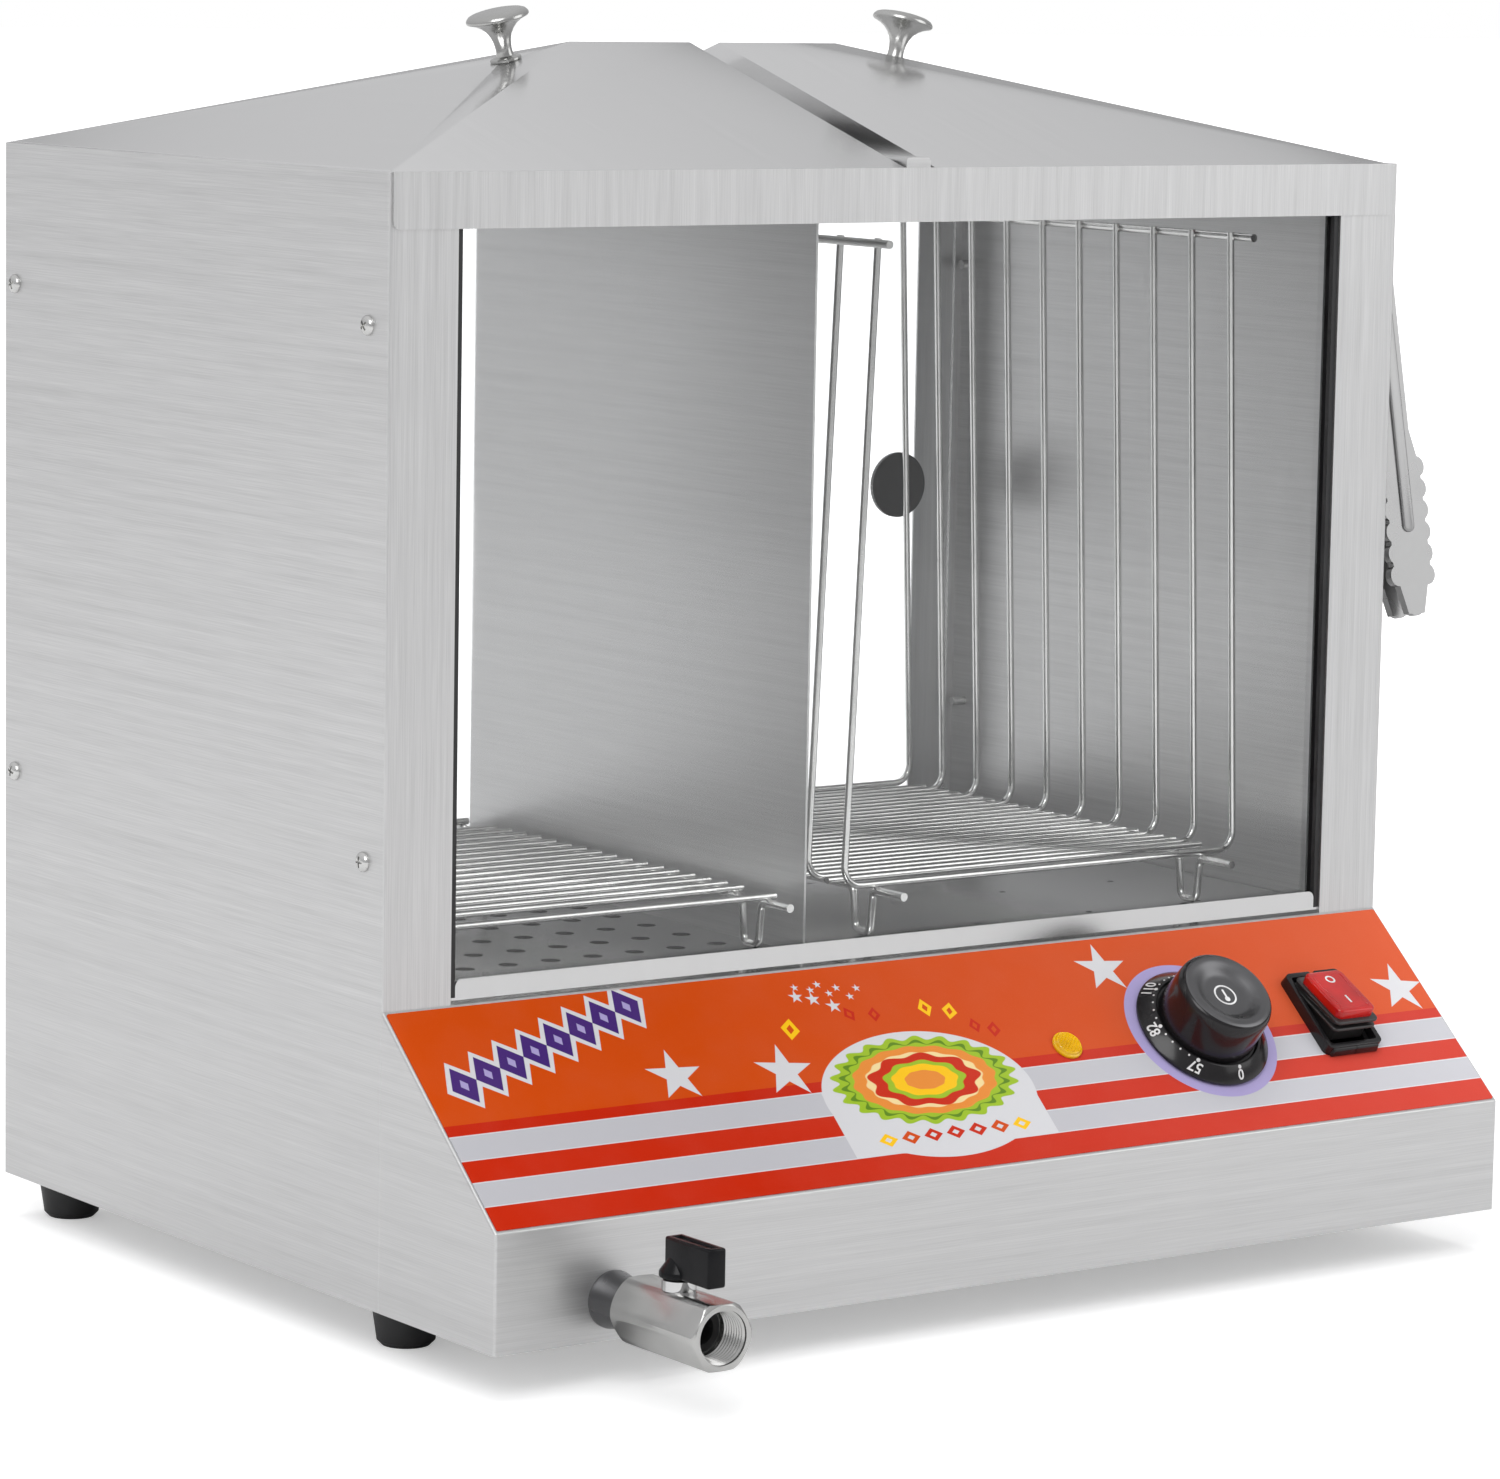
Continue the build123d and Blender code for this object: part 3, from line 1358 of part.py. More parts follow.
# Switch housing: a raised frame on the label, and a box through the panel.
switch_place = slope.from_local_coords((switch_x, 0, 0))
switch_plane = Plane(origin=switch_place, x_dir=(1, 0, 0), z_dir=outward)
box_width = switch_width - 2 * switch_hole_margin - 2 * screw_clearance
box_length = switch_length - 8 - 2 * screw_clearance
cavity_width = boot_core_width + 2
cavity_length = boot_core_length + 4
with BuildPart() as switch_housing:
    with BuildSketch(switch_plane.offset(label_thickness)):
        RectangleRounded(switch_width, switch_length, 3)
    extrude(amount=switch_frame_height - label_thickness, taper=4)
    with BuildSketch(switch_plane.offset(label_thickness + 0.5)):
        RectangleRounded(
            switch_width - 2 * switch_frame_wall, switch_length - 2 * switch_frame_wall, 1.5
        )
    extrude(amount=switch_frame_height, mode=Mode.SUBTRACT)
    with BuildSketch(switch_plane.offset(-switch_depth / 2)):
        Rectangle(box_width, box_length)
    extrude(amount=switch_depth / 2 + label_thickness)
    with BuildSketch(switch_plane.offset(-switch_depth / 2)):
        Rectangle(cavity_width, cavity_length)
    extrude(amount=switch_depth, mode=Mode.SUBTRACT)
    # pointer notch in the upper end
    with BuildSketch(switch_plane.offset(switch_frame_height - 2)):
        with Locations((0, switch_length / 2)):
            RegularPolygon(3, 3, rotation=-90)
    extrude(amount=4, mode=Mode.SUBTRACT)
switch_housing.part.label = "switch_housing"
export_step(switch_housing.part, "parts/switch_housing.step")

# Switch body behind the panel, with three flat terminals.
with BuildPart() as switch_body:
    with BuildSketch(switch_plane.offset(-switch_depth / 2)):
        Rectangle(box_width, box_length)
    extrude(amount=-switch_depth / 2)
    with BuildSketch(switch_plane.offset(-switch_depth)):
        with GridLocations(1, terminal_pitch, 1, 3):
            Rectangle(terminal_width, 0.8)
    extrude(amount=-terminal_length)
switch_body.part.label = "switch_body"
export_step(switch_body.part, "parts/switch_body.step")

# Rubber boot under the rocker: a core with two ribs, turned with the rocker.
pivot = slope.from_local_coords((switch_x, 0, rocker_pivot_height))
rocker_plane = Plane(origin=pivot, x_dir=(1, 0, 0), z_dir=outward).rotated((-rocker_tilt, 0, 0))
rocker_top = rocker_height - rocker_pivot_height
with BuildPart() as switch_boot:
    with BuildSketch(rocker_plane.offset(-5)):
        RectangleRounded(boot_core_width, boot_core_length, 2)
    extrude(amount=rocker_top - rocker_thickness + 5)
    for low in (1.8, 5.2):
        with BuildSketch(rocker_plane.offset(low)):
            RectangleRounded(boot_width, boot_length, 2.5)
        extrude(amount=1.6)
switch_boot.part.label = "switch_boot"
export_step(switch_boot.part, "parts/switch_boot.step")

# Switch rocker: a clear red cap with rounded edges.
with BuildPart() as switch_rocker:
    with BuildSketch(rocker_plane.offset(rocker_top - rocker_thickness)):
        RectangleRounded(rocker_width, rocker_length, 3)
    extrude(amount=rocker_thickness)
    fillet(switch_rocker.faces().sort_by(Axis(pivot, rocker_plane.z_dir))[-1].edges(), 1.2)
switch_rocker.part.label = "switch_rocker"
export_step(switch_rocker.part, "parts/switch_rocker.step")

# ---------------------------------------------------------------- tongs and side screws

# Hook: a screwed plate with a rod that turns up at its end.
hook_y = front_y + hook_setback
with BuildPart() as tongs_hook:
    with BuildSketch(Plane.YZ.offset(right_x)):
        with Locations((hook_y, hook_z)):
            RectangleRounded(hook_plate_width, hook_plate_height, 2)
            with GridLocations(1, hook_screw_pitch, 1, 2):
                Circle(screw_radius + screw_clearance, mode=Mode.SUBTRACT)
    extrude(amount=hook_plate_thickness)
    bent_wire(
        [
            (right_x + hook_plate_thickness / 2, hook_y, hook_z),
            (right_x + hook_reach, hook_y, hook_z),
            (right_x + hook_reach, hook_y, hook_z + hook_turn_up),
        ],
        hook_radius,
        2.5,
    )
tongs_hook.part.label = "tongs_hook"
export_step(tongs_hook.part, "parts/tongs_hook.step")

# Tongs on the hook, in their own plane: X to the right, Y along the arms upwards,
# Z out of the front arm. The bow goes over the hook's rod.
lean = radians(tongs_lean)
bow_drop = bow_radius - hook_radius - rest_gap
tongs = Plane(
    origin=(
        middle_x + tongs_x,
        hook_y - bow_drop * sin(lean),
        hook_z - bow_drop * cos(lean),
    ),
    x_dir=(1, 0, 0),
    z_dir=(0, -cos(lean), sin(lean)),
)
jaw_top = -arm_length
jaw_tip = -arm_length - jaw_length


def tongs_arm(side):
    """A pressed arm: a shallow channel that widens into a scalloped jaw."""
    outer = side * (bow_radius + tongs_thickness)
    with BuildSketch(tongs.offset(outer)) as blank:
        with BuildLine():
            Polyline(
                (-arm_width / 2, 0),
                (-arm_width / 2, jaw_top),
                (-0.40 * jaw_width, jaw_top - 0.20 * jaw_length),
                (-0.42 * jaw_width, jaw_top - 0.72 * jaw_length),
                (-0.18 * jaw_width, jaw_tip + 1),
                (0.18 * jaw_width, jaw_tip + 1),
                (0.42 * jaw_width, jaw_top - 0.72 * jaw_length),
                (0.40 * jaw_width, jaw_top - 0.20 * jaw_length),
                (arm_width / 2, jaw_top),
                (arm_width / 2, 0),
                close=True,
            )
        make_face()
        # round scallops along both edges of the jaw, and one at the tip
        reach = 0.58 * jaw_length
        for i in range(jaw_scallops - 2):
            y = jaw_top - 0.20 * jaw_length - i * reach / (jaw_scallops - 3)
            for x in (-1, 1):
                with Locations((x * (jaw_width / 2 - jaw_scallop_radius), y)):
                    Circle(jaw_scallop_radius)
        with Locations((0, jaw_tip + jaw_scallop_radius)):
            Circle(jaw_scallop_radius)
    extrude(blank.sketch, amount=-side * arm_depth)
    with BuildSketch(tongs.offset(side * bow_radius)) as hollow:
        offset(blank.sketch.faces()[0], amount=-tongs_thickness)
    extrude(hollow.sketch, amount=-side * arm_depth, mode=Mode.SUBTRACT)


with BuildPart() as tongs_front_arm:
    tongs_arm(1)
    with BuildSketch(Plane(origin=tongs.origin, x_dir=tongs.y_dir, z_dir=-tongs.x_dir)) as bow:
        Circle(bow_radius + tongs_thickness)
        Circle(bow_radius, mode=Mode.SUBTRACT)
        with Locations((-bow_radius - tongs_thickness, 0)):
            Rectangle(2 * (bow_radius + tongs_thickness), 3 * bow_radius, mode=Mode.SUBTRACT)
    extrude(bow.sketch, amount=arm_width / 2, both=True)
tongs_front_arm.part.label = "tongs_front_arm"
export_step(tongs_front_arm.part, "parts/tongs_front_arm.step")

with BuildPart() as tongs_rear_arm:
    tongs_arm(-1)
tongs_rear_arm.part.label = "tongs_rear_arm"
export_step(tongs_rear_arm.part, "parts/tongs_rear_arm.step")

# Pan head screws in the side walls, and two that hold the hook.
with BuildPart() as side_screws:
    for side in (-1, 1):
        for y in (front_y + side_screw_front, rear_y - side_screw_rear):
            for z in (seam_z + side_screw_low, seam_z + side_screw_high):
                pan_screw((middle_x + side * width / 2, y, z), (side, 0, 0))
    for z in (hook_z - hook_screw_pitch / 2, hook_z + hook_screw_pitch / 2):
        pan_screw((right_x + hook_plate_thickness, hook_y, z), (1, 0, 0))
side_screws.part.label = "side_screws"
export_step(side_screws.part, "parts/side_screws.step")
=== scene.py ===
"""Looks for a countertop hot dog steamer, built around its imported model.

The sheet metal, glass, racks, knobs, switch, valve and tongs get their finishes and
fine detail here. Everything is in metres, with the front towards -Y and up along +Z.
Outlines and sizes of small pieces are written in millimetres and scaled by MM.
"""

import functools
import json
import math

import bpy
from mathutils import Matrix, Vector


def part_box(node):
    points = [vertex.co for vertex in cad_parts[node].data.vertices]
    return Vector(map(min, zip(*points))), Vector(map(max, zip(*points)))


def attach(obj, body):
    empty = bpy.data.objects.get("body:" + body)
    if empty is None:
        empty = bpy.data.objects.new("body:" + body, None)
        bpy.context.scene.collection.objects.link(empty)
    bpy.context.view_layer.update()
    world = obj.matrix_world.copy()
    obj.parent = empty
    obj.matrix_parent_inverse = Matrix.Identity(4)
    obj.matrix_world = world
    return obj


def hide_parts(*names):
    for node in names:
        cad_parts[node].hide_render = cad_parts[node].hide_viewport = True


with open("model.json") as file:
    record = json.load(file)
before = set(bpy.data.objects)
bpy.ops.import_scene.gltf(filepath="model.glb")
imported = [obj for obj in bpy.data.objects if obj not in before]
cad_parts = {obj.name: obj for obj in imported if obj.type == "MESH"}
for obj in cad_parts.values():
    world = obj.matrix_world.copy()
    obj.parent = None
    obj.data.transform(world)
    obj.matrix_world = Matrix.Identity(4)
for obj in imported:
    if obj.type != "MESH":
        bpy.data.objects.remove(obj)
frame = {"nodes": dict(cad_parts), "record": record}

bl_info = {
    "name": "Hot Dog Steamer",
    "version": (1, 1, 0),
    "blender": (4, 5, 0),
    "location": "3D View > Sidebar > Steamer",
    "description": "Finishes and fine pieces of a countertop hot dog steamer",
    "category": "Object",
}

MM = 0.001
NODES = frame["nodes"]
SLOT_OF = {part["node"]: part["material_slot"] for part in frame["record"]["subparts"]}

# The sloped control panel: the middle of its top edge, its outward normal and the way down it.
LABEL_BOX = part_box("control_label")
MIDDLE_X = (LABEL_BOX[0].x + LABEL_BOX[1].x) / 2
SLOPE_TOP = Vector((MIDDLE_X, -0.083, 0.135))
SLOPE_OUT = Vector((0, -0.656524, 0.754305))
SLOPE_DOWN = Vector((0, -0.754305, -0.656524))

# Places on the panel, in millimetres across from its middle and down from its top edge.
CONTROLS_DOWN = 53.7
LAMP_ACROSS = 50.5
KNOB_ACROSS = 121.0
SWITCH_ACROSS = 190.5

# The drain valve: its axis, its mouth, and the foot of its handle over the stem.
VALVE_MOUTH = Vector((-0.211, -0.2365, 0.0337))
HANDLE_FOOT = Vector((-0.211, -0.2075, 0.0511))

# The tongs hang in a leaning plane: across is X, up is along the arms, out is forwards.
TONGS_ORIGIN = Vector((0.2535, -0.04875, 0.40188))
TONGS_LEAN = math.radians(11.65)

# Roof lid knobs: where each stands, and the slope of the roof under it.
LID_KNOBS = (
    ("left", Vector((-0.115, 0.068, 0.49106)), -1),
    ("right", Vector((0.082, 0.068, 0.49106)), 1),
)
ROOF_RISE = 46.0
ROOF_RUN = 179.5

# Screws: the face they sit on, and which way that face looks.
SCREW_PLACES = [
    (x, y, z) for x in (-0.264, 0.236) for y in (-0.069, 0.2095) for z in (0.191, 0.395)
] + [(0.2375, -0.048, 0.395), (0.2375, -0.048, 0.416)]


def on_slope(across, down, out=0.0):
    """A point on the control panel, in millimetres from the middle of its top edge."""
    return SLOPE_TOP + (Vector((across, 0, 0)) + SLOPE_DOWN * down + SLOPE_OUT * out) * MM


def frame_at(point, out, up):
    """The matrix of a place, with Z along out and Y nearest to up."""
    z = Vector(out).normalized()
    x = Vector(up).cross(z).normalized()
    y = z.cross(x)
    matrix = Matrix((x, y, z)).transposed().to_4x4()
    matrix.translation = Vector(point)
    return matrix


def panel_frame(across, down=CONTROLS_DOWN):
    """The matrix of a place on the control panel."""
    return frame_at(on_slope(across, down), SLOPE_OUT, -SLOPE_DOWN)


# ---------------------------------------------------------------- sizes and colours


def colour_property(name, description, default):
    """A colour that the user can change."""
    return bpy.props.FloatVectorProperty(
        name=name, description=description, default=default, size=3, min=0, max=1, subtype="COLOR"
    )


def length_property(name, description, default):
    """A length that the user can change, in metres."""
    return bpy.props.FloatProperty(
        name=name, description=description, default=default, min=0, precision=4, unit="LENGTH"
    )


def share_property(name, description, default):
    """A share from none to all."""
    return bpy.props.FloatProperty(
        name=name, description=description, default=default, min=0, max=1, subtype="FACTOR"
    )


def count_property(name, description, default, least=1):
    """A number of like things."""
    return bpy.props.IntProperty(name=name, description=description, default=default, min=least)


class SteamerMetalSettings(bpy.types.PropertyGroup):
    """Colours and grain of the metals."""

    cabinet: colour_property("Cabinet Steel", "Brushed sheet of the cabinet", (0.65, 0.65, 0.65))
    lid: colour_property("Lid Steel", "Satin sheet of the roof lids", (0.84, 0.84, 0.84))
    chamber: colour_property("Chamber Steel", "Sheet inside the chambers", (0.50, 0.50, 0.50))
    wire: colour_property("Rack Wire", "Bright wire of the racks", (0.74, 0.74, 0.73))
    nickel: colour_property("Satin Nickel", "Valve body and lid knobs", (0.52, 0.52, 0.51))
    tongs: colour_property("Tongs Steel", "Pressed sheet of the tongs", (0.36, 0.36, 0.36))
    line_width: length_property("Line Width", "Width of one brush line", 0.00045)
    line_depth: share_property("Line Depth", "How strongly the brush lines show", 0.12)


class SteamerPrintSettings(bpy.types.PropertyGroup):
    """Colours of the printed control panel."""

    orange: colour_property("Orange", "Upper field of the panel", (0.57, 0.062, 0.0015))
    deep: colour_property("Deep Red", "Narrow band under the field", (0.50, 0.016, 0.001))
    red: colour_property("Red", "Stripes of the panel", (0.52, 0.020, 0.002))
    pale: colour_property("Pale Stripe", "Stripes between the red ones", (0.47, 0.47, 0.50))
    white: colour_property("White", "Stars and outlines", (0.60, 0.60, 0.62))
    lavender: colour_property("Lavender", "Ring under the thermostat", (0.36, 0.31, 0.56))
    purple: colour_property("Purple", "Row of lozenges", (0.055, 0.02, 0.16))
    tan: colour_property("Tan", "Crust ring of the rosette", (0.72, 0.24, 0.035))
    leaf: colour_property("Leaf Green", "Outer leaves of the rosette", (0.30, 0.46, 0.02))
    yellow: colour_property("Yellow", "Small ornaments", (0.86, 0.50, 0.005))


class SteamerControlSettings(bpy.types.PropertyGroup):
    """Sizes and colours of the knobs, the lamp, the switch and the valve."""

    black: colour_property("Black Plastic", "Knob body and switch frame", (0.012, 0.011, 0.012))
    cap: colour_property("Knob Cap", "Satin cap of the thermostat knob", (0.17, 0.17, 0.175))
    marks: colour_property("Marks", "Printed numbers and dots", (0.72, 0.72, 0.72))
    red: colour_property("Red Rocker", "Clear red cap of the switch", (0.50, 0.004, 0.003))
    amber: colour_property("Amber Lens", "Pilot lamp", (0.90, 0.50, 0.0005))
    digit_height: length_property("Digit Height", "Height of the dial's numbers", 0.0043)
    lens_cells: count_property("Lens Cells", "Prisms across the pilot lamp", 11, 3)
    thread_turns: count_property("Thread Turns", "Ridges in the drain outlet", 8, 1)
    screw_turns: count_property("Screw Facets", "Facets round a screw head", 32, 12)


class SteamerStageSettings(bpy.types.PropertyGroup):
    """Floor, lamps and camera."""

    floor_colour: colour_property("Floor", "Colour of the floor and backdrop", (0.82, 0.82, 0.82))
    floor_size: length_property("Floor Size", "Width of the floor", 60.0)
    lens: bpy.props.FloatProperty(
        name="Lens", description="Focal length of the camera", default=138.91, min=1, unit="CAMERA"
    )


# ---------------------------------------------------------------- shader building


def join_socket(tree, socket, value):
    """Links a socket to another one, or gives it a plain value."""
    if isinstance(value, bpy.types.NodeSocket):
        tree.links.new(value, socket)
    else:
        socket.default_value = value


def add_node(tree, kind, values=None, **settings):
    """Adds a shader node, with its settings, and its sockets set or linked."""
    node = tree.nodes.new("ShaderNode" + kind)
    for name, value in settings.items():
        setattr(node, name, value)
    for name, value in (values or {}).items():
        join_socket(tree, node.inputs[name], value)
    return node


def reckon(tree, operation, *values, clamp=False):
    """The result of a math node."""
    inputs = dict(enumerate(values))
    return add_node(tree, "Math", inputs, operation=operation, use_clamp=clamp).outputs[0]


def blend_colours(tree, share, first, second):
    """Two colours mixed by a share."""
    node = add_node(tree, "Mix", data_type="RGBA", blend_type="MIX", clamp_factor=True)
    join_socket(tree, node.inputs[0], share)
    for socket, value in ((node.inputs[6], first), (node.inputs[7], second)):
        if not isinstance(value, bpy.types.NodeSocket):
            value = (*value[:3], 1)
        join_socket(tree, socket, value)
    return node.outputs[2]


def stretch(tree, value, low, high, low_out=0.0, high_out=1.0):
    """A value moved from one range to another."""
    inputs = dict(enumerate((value, low, high, low_out, high_out)))
    return add_node(tree, "MapRange", inputs).outputs[0]


def towards(tree, place, way):
    """How far a place lies in one direction."""
    node = add_node(tree, "VectorMath", {0: place, 1: way}, operation="DOT_PRODUCT")
    return node.outputs["Value"]


def noise(tree, place, scale, detail, roughness=0.5, **settings):
    """The value of a noise texture at a place."""
    inputs = {"Vector": place, "Scale": scale, "Detail": detail, "Roughness": roughness}
    return add_node(tree, "TexNoise", inputs, **settings).outputs[0]


def place_group(tree, name, values):
    """Places a node group in a material, sets its sockets and returns its results."""
    node = add_node(tree, "Group", node_tree=GROUPS[name]())
    for label, value in values.items():
        join_socket(tree, node.inputs[label], value)
    return node.outputs


def shader_group(name, inputs, *outputs):
    """Wraps what fills a node group, so that the group is made when it is first asked for."""

    def wrap(fill):
        def ask():
            if name in bpy.data.node_groups:
                return bpy.data.node_groups[name]
            tree = bpy.data.node_groups.new(name, "ShaderNodeTree")
            for label, default in inputs.items():
                kind = "NodeSocketVector" if isinstance(default, tuple) else "NodeSocketFloat"
                socket = tree.interface.new_socket(name=label, in_out="INPUT", socket_type=kind)
                socket.default_value = default
            for label in outputs:
                kind = "NodeSocketFloat"
                tree.interface.new_socket(name=label, in_out="OUTPUT", socket_type=kind)
            entry = tree.nodes.new("NodeGroupInput")
            leave = tree.nodes.new("NodeGroupOutput")
            for label, result in zip(outputs, fill(tree, entry.outputs)):
                tree.links.new(result, leave.inputs[label])
            return tree

        return ask

    return wrap


# A face looks along an axis when its normal has this share of it.
LOOKS_ALONG = 0.7


@shader_group(
    "Brushed Grain",
    {
        "Position": (0, 0, 0),
        "Facing": (0, 0, 1),
        "Lines per Metre": 1400.0,
        "Stretch": 90.0,
        "Upright": 0.0,
    },
    "Lines",
    "Long Lines",
    "Drift",
)
def brushed_grain(tree, given):
    """Fine lines along the sheet: level on the side walls, level or upright on the front."""
    place = add_node(tree, "SeparateXYZ", {"Vector": given["Position"]}).outputs
    facing = add_node(tree, "SeparateXYZ", {"Vector": given["Facing"]}).outputs
    to_side, to_front = [
        reckon(tree, "GREATER_THAN", reckon(tree, "ABSOLUTE", facing[way]), LOOKS_ALONG)
        for way in "XY"
    ]
    level = reckon(tree, "MULTIPLY", to_front, reckon(tree, "SUBTRACT", 1.0, given["Upright"]))

    def choose(share, first, second):
        return add_node(tree, "Mix", {"Factor": share, "A": first, "B": second}).outputs[0]

    over_sheet = reckon(tree, "MAXIMUM", to_side, level)
    across = choose(over_sheet, place["X"], place["Z"])
    along = choose(level, choose(to_front, place["Y"], place["Z"]), place["X"])
    across = reckon(tree, "MULTIPLY", across, given["Lines per Metre"])
    along = reckon(tree, "MULTIPLY", along, given["Lines per Metre"])
    along = reckon(tree, "DIVIDE", along, given["Stretch"])

    def streaks(across_share, along_share, detail):
        shares = {
            "X": reckon(tree, "MULTIPLY", across, across_share),
            "Y": reckon(tree, "MULTIPLY", along, along_share),
        }
        spot = add_node(tree, "CombineXYZ", shares).outputs[0]
        return noise(tree, spot, 1.0, detail, 0.6, noise_dimensions="2D")

    drift = noise(tree, given["Position"], 3.0, 1.0)
    return streaks(1.0, 1.0, 3.0), streaks(0.14, 0.12, 2.0), drift


@shader_group("Fine Speckle", {"Position": (0, 0, 0), "Grain per Metre": 0.0}, "Pits", "Patches")
def fine_speckle(tree, given):
    """Small even pits and slow patches, for moulded plastic, rubber and cast metal."""
    pits = noise(tree, given["Position"], given["Grain per Metre"], 2.0)
    slower = reckon(tree, "MULTIPLY", given["Grain per Metre"], 0.02)
    return pits, noise(tree, given["Position"], slower, 3.0)


def edge_mask(tree, inside, softness):
    """One inside an edge and none outside it, over a soft step."""
    return reckon(tree, "ADD", reckon(tree, "DIVIDE", inside, softness), 0.5, clamp=True)


@shader_group("Band Mask", {"Distance": 0.0, "From": 0.0, "To": 1.0, "Softness": 0.2}, "Mask")
def band_mask(tree, given):
    """One between two distances, and none elsewhere."""
    above = reckon(tree, "SUBTRACT", given["Distance"], given["From"])
    below = reckon(tree, "SUBTRACT", given["To"], given["Distance"])
    return (edge_mask(tree, reckon(tree, "MINIMUM", above, below), given["Softness"]),)


# A place on the control panel and a shape's centre, in millimetres, and the shape's size.
ON_PANEL = {"Across": 0.0, "Down": 0.0, "Centre Across": 0.0, "Centre Down": 0.0}
SIZED = {**ON_PANEL, "Half Width": 10.0, "Half Height": 10.0}
# How far a printed edge takes to fade, in millimetres.
EDGE_SOFTNESS = 0.2
LOZENGE_SOFTNESS = 0.25


def from_centre(tree, given):
    """How far a place lies across and down from a shape's centre."""
    return [
        reckon(tree, "SUBTRACT", given[way], given["Centre " + way]) for way in ("Across", "Down")
    ]


def shares_of_size(tree, given):
    """The same as shares of the shape's half width and half height."""
    side, fall = from_centre(tree, given)
    side_share = reckon(tree, "DIVIDE", side, given["Half Width"])
    return side_share, reckon(tree, "DIVIDE", fall, given["Half Height"])


def distance(tree, side, fall):
    """The straight way, from a way across and a way down."""
    squares = [reckon(tree, "MULTIPLY", part, part) for part in (side, fall)]
    return reckon(tree, "SQRT", reckon(tree, "ADD", *squares))


def inside_by(tree, reach, size):
    """How far inside an edge a place lies, from its share of the way out to the edge."""
    return reckon(tree, "MULTIPLY", reckon(tree, "SUBTRACT", 1.0, reach), size)


@shader_group("Star Mask", {**ON_PANEL, "Radius": 12.0, "Turn": 0.0}, "Mask")
def star_mask(tree, given):
    """One inside a five-pointed star."""
    side, fall = from_centre(tree, given)
    angle = reckon(tree, "ADD", reckon(tree, "ARCTAN2", fall, side), given["Turn"])
    folded = reckon(tree, "PINGPONG", angle, math.pi / 5)
    lean = reckon(tree, "COSINE", reckon(tree, "SUBTRACT", math.radians(72), folded))
    edge = reckon(tree, "MULTIPLY", given["Radius"], math.cos(math.radians(72)))
    reach = reckon(tree, "MULTIPLY", distance(tree, side, fall), lean)
    return (edge_mask(tree, reckon(tree, "SUBTRACT", edge, reach), EDGE_SOFTNESS),)


@shader_group("Oval Mask", SIZED, "Mask")
def oval_mask(tree, given):
    """One inside an oval."""
    reach = distance(tree, *shares_of_size(tree, given))
    return (edge_mask(tree, inside_by(tree, reach, given["Half Height"]), EDGE_SOFTNESS),)


@shader_group("Lozenge Mask", {**SIZED, "Turn": 0.0}, "Mask")
def lozenge_mask(tree, given):
    """One inside a lozenge that may be turned."""
    side, fall = from_centre(tree, given)
    cosine = reckon(tree, "COSINE", given["Turn"])
    sine = reckon(tree, "SINE", given["Turn"])
    shares = []
    for operation, first, second, size in (
        ("ADD", side, fall, "Half Width"),
        ("SUBTRACT", fall, side, "Half Height"),
    ):
        parts = reckon(tree, "MULTIPLY", first, cosine), reckon(tree, "MULTIPLY", second, sine)
        turned = reckon(tree, "ABSOLUTE", reckon(tree, operation, *parts))
        shares.append(reckon(tree, "DIVIDE", turned, given[size]))
    reach = reckon(tree, "ADD", *shares)
    return (edge_mask(tree, inside_by(tree, reach, given["Half Width"]), LOZENGE_SOFTNESS),)


@shader_group("Rosette Reach", {**SIZED, "Petals": 12.0, "Depth": 0.1}, "Reach")
def rosette_reach(tree, given):
    """The share of the way out from a rosette's middle, waved into petals."""
    side, fall = shares_of_size(tree, given)
    angle = reckon(tree, "ARCTAN2", fall, side)
    wave = reckon(tree, "COSINE", reckon(tree, "MULTIPLY", angle, given["Petals"]))
    swell = reckon(tree, "ADD", 1.0, reckon(tree, "MULTIPLY", wave, given["Depth"]))
    return (reckon(tree, "DIVIDE", distance(tree, side, fall), swell),)


GROUPS = {
    "grain": brushed_grain,
    "speckle": fine_speckle,
    "band": band_mask,
    "star": star_mask,
    "oval": oval_mask,
    "lozenge": lozenge_mask,
    "rosette": rosette_reach,
}


# ---------------------------------------------------------------- materials

# The middle part of a noise's values, where nearly all of them lie.
NOISE_RANGE = (0.3, 0.7)


def made_once(make):
    """Wraps a maker of materials, so that a material that exists is used again."""

    @functools.wraps(make)
    def ask(name, *values, **settings):
        return bpy.data.materials.get(name) or make(name, *values, **settings)

    return ask


def new_material(name):
    """A new material: the material, its tree, its main shader and its coordinates."""
    material = bpy.data.materials.new(name)
    material.use_nodes = True
    tree = material.node_tree
    tree.nodes.clear()
    place = add_node(tree, "TexCoord").outputs
    shader = add_node(tree, "BsdfPrincipled")
    output = add_node(tree, "OutputMaterial")
    tree.links.new(shader.outputs[0], output.inputs["Surface"])
    return material, tree, shader, place


def surface_of(tree):
    """The socket that takes a material's finished surface."""
    return next(node for node in tree.nodes if node.type == "OUTPUT_MATERIAL").inputs["Surface"]


def speckle_of(tree, place, grain):
    """The pits and the slow patches of a surface."""
    return place_group(tree, "speckle", {"Position": place["Object"], "Grain per Metre": grain})


def shades(colour, darker, lighter):
    """A darker and a lighter shade of a colour."""
    dark = tuple(part * darker for part in colour)
    return dark, tuple(min(1.0, part * lighter) for part in colour)


def cover(tree, shader, colour, gloss, height, bump, depth):
    """Gives a shader its colour and gloss, and bumps of some depth in metres."""
    relief = {"Height": height, "Strength": bump, "Distance": depth}
    for label, socket in (
        ("Base Color", colour),
        ("Roughness", gloss),
        ("Normal", add_node(tree, "Bump", relief).outputs[0]),
    ):
        tree.links.new(socket, shader.inputs[label])


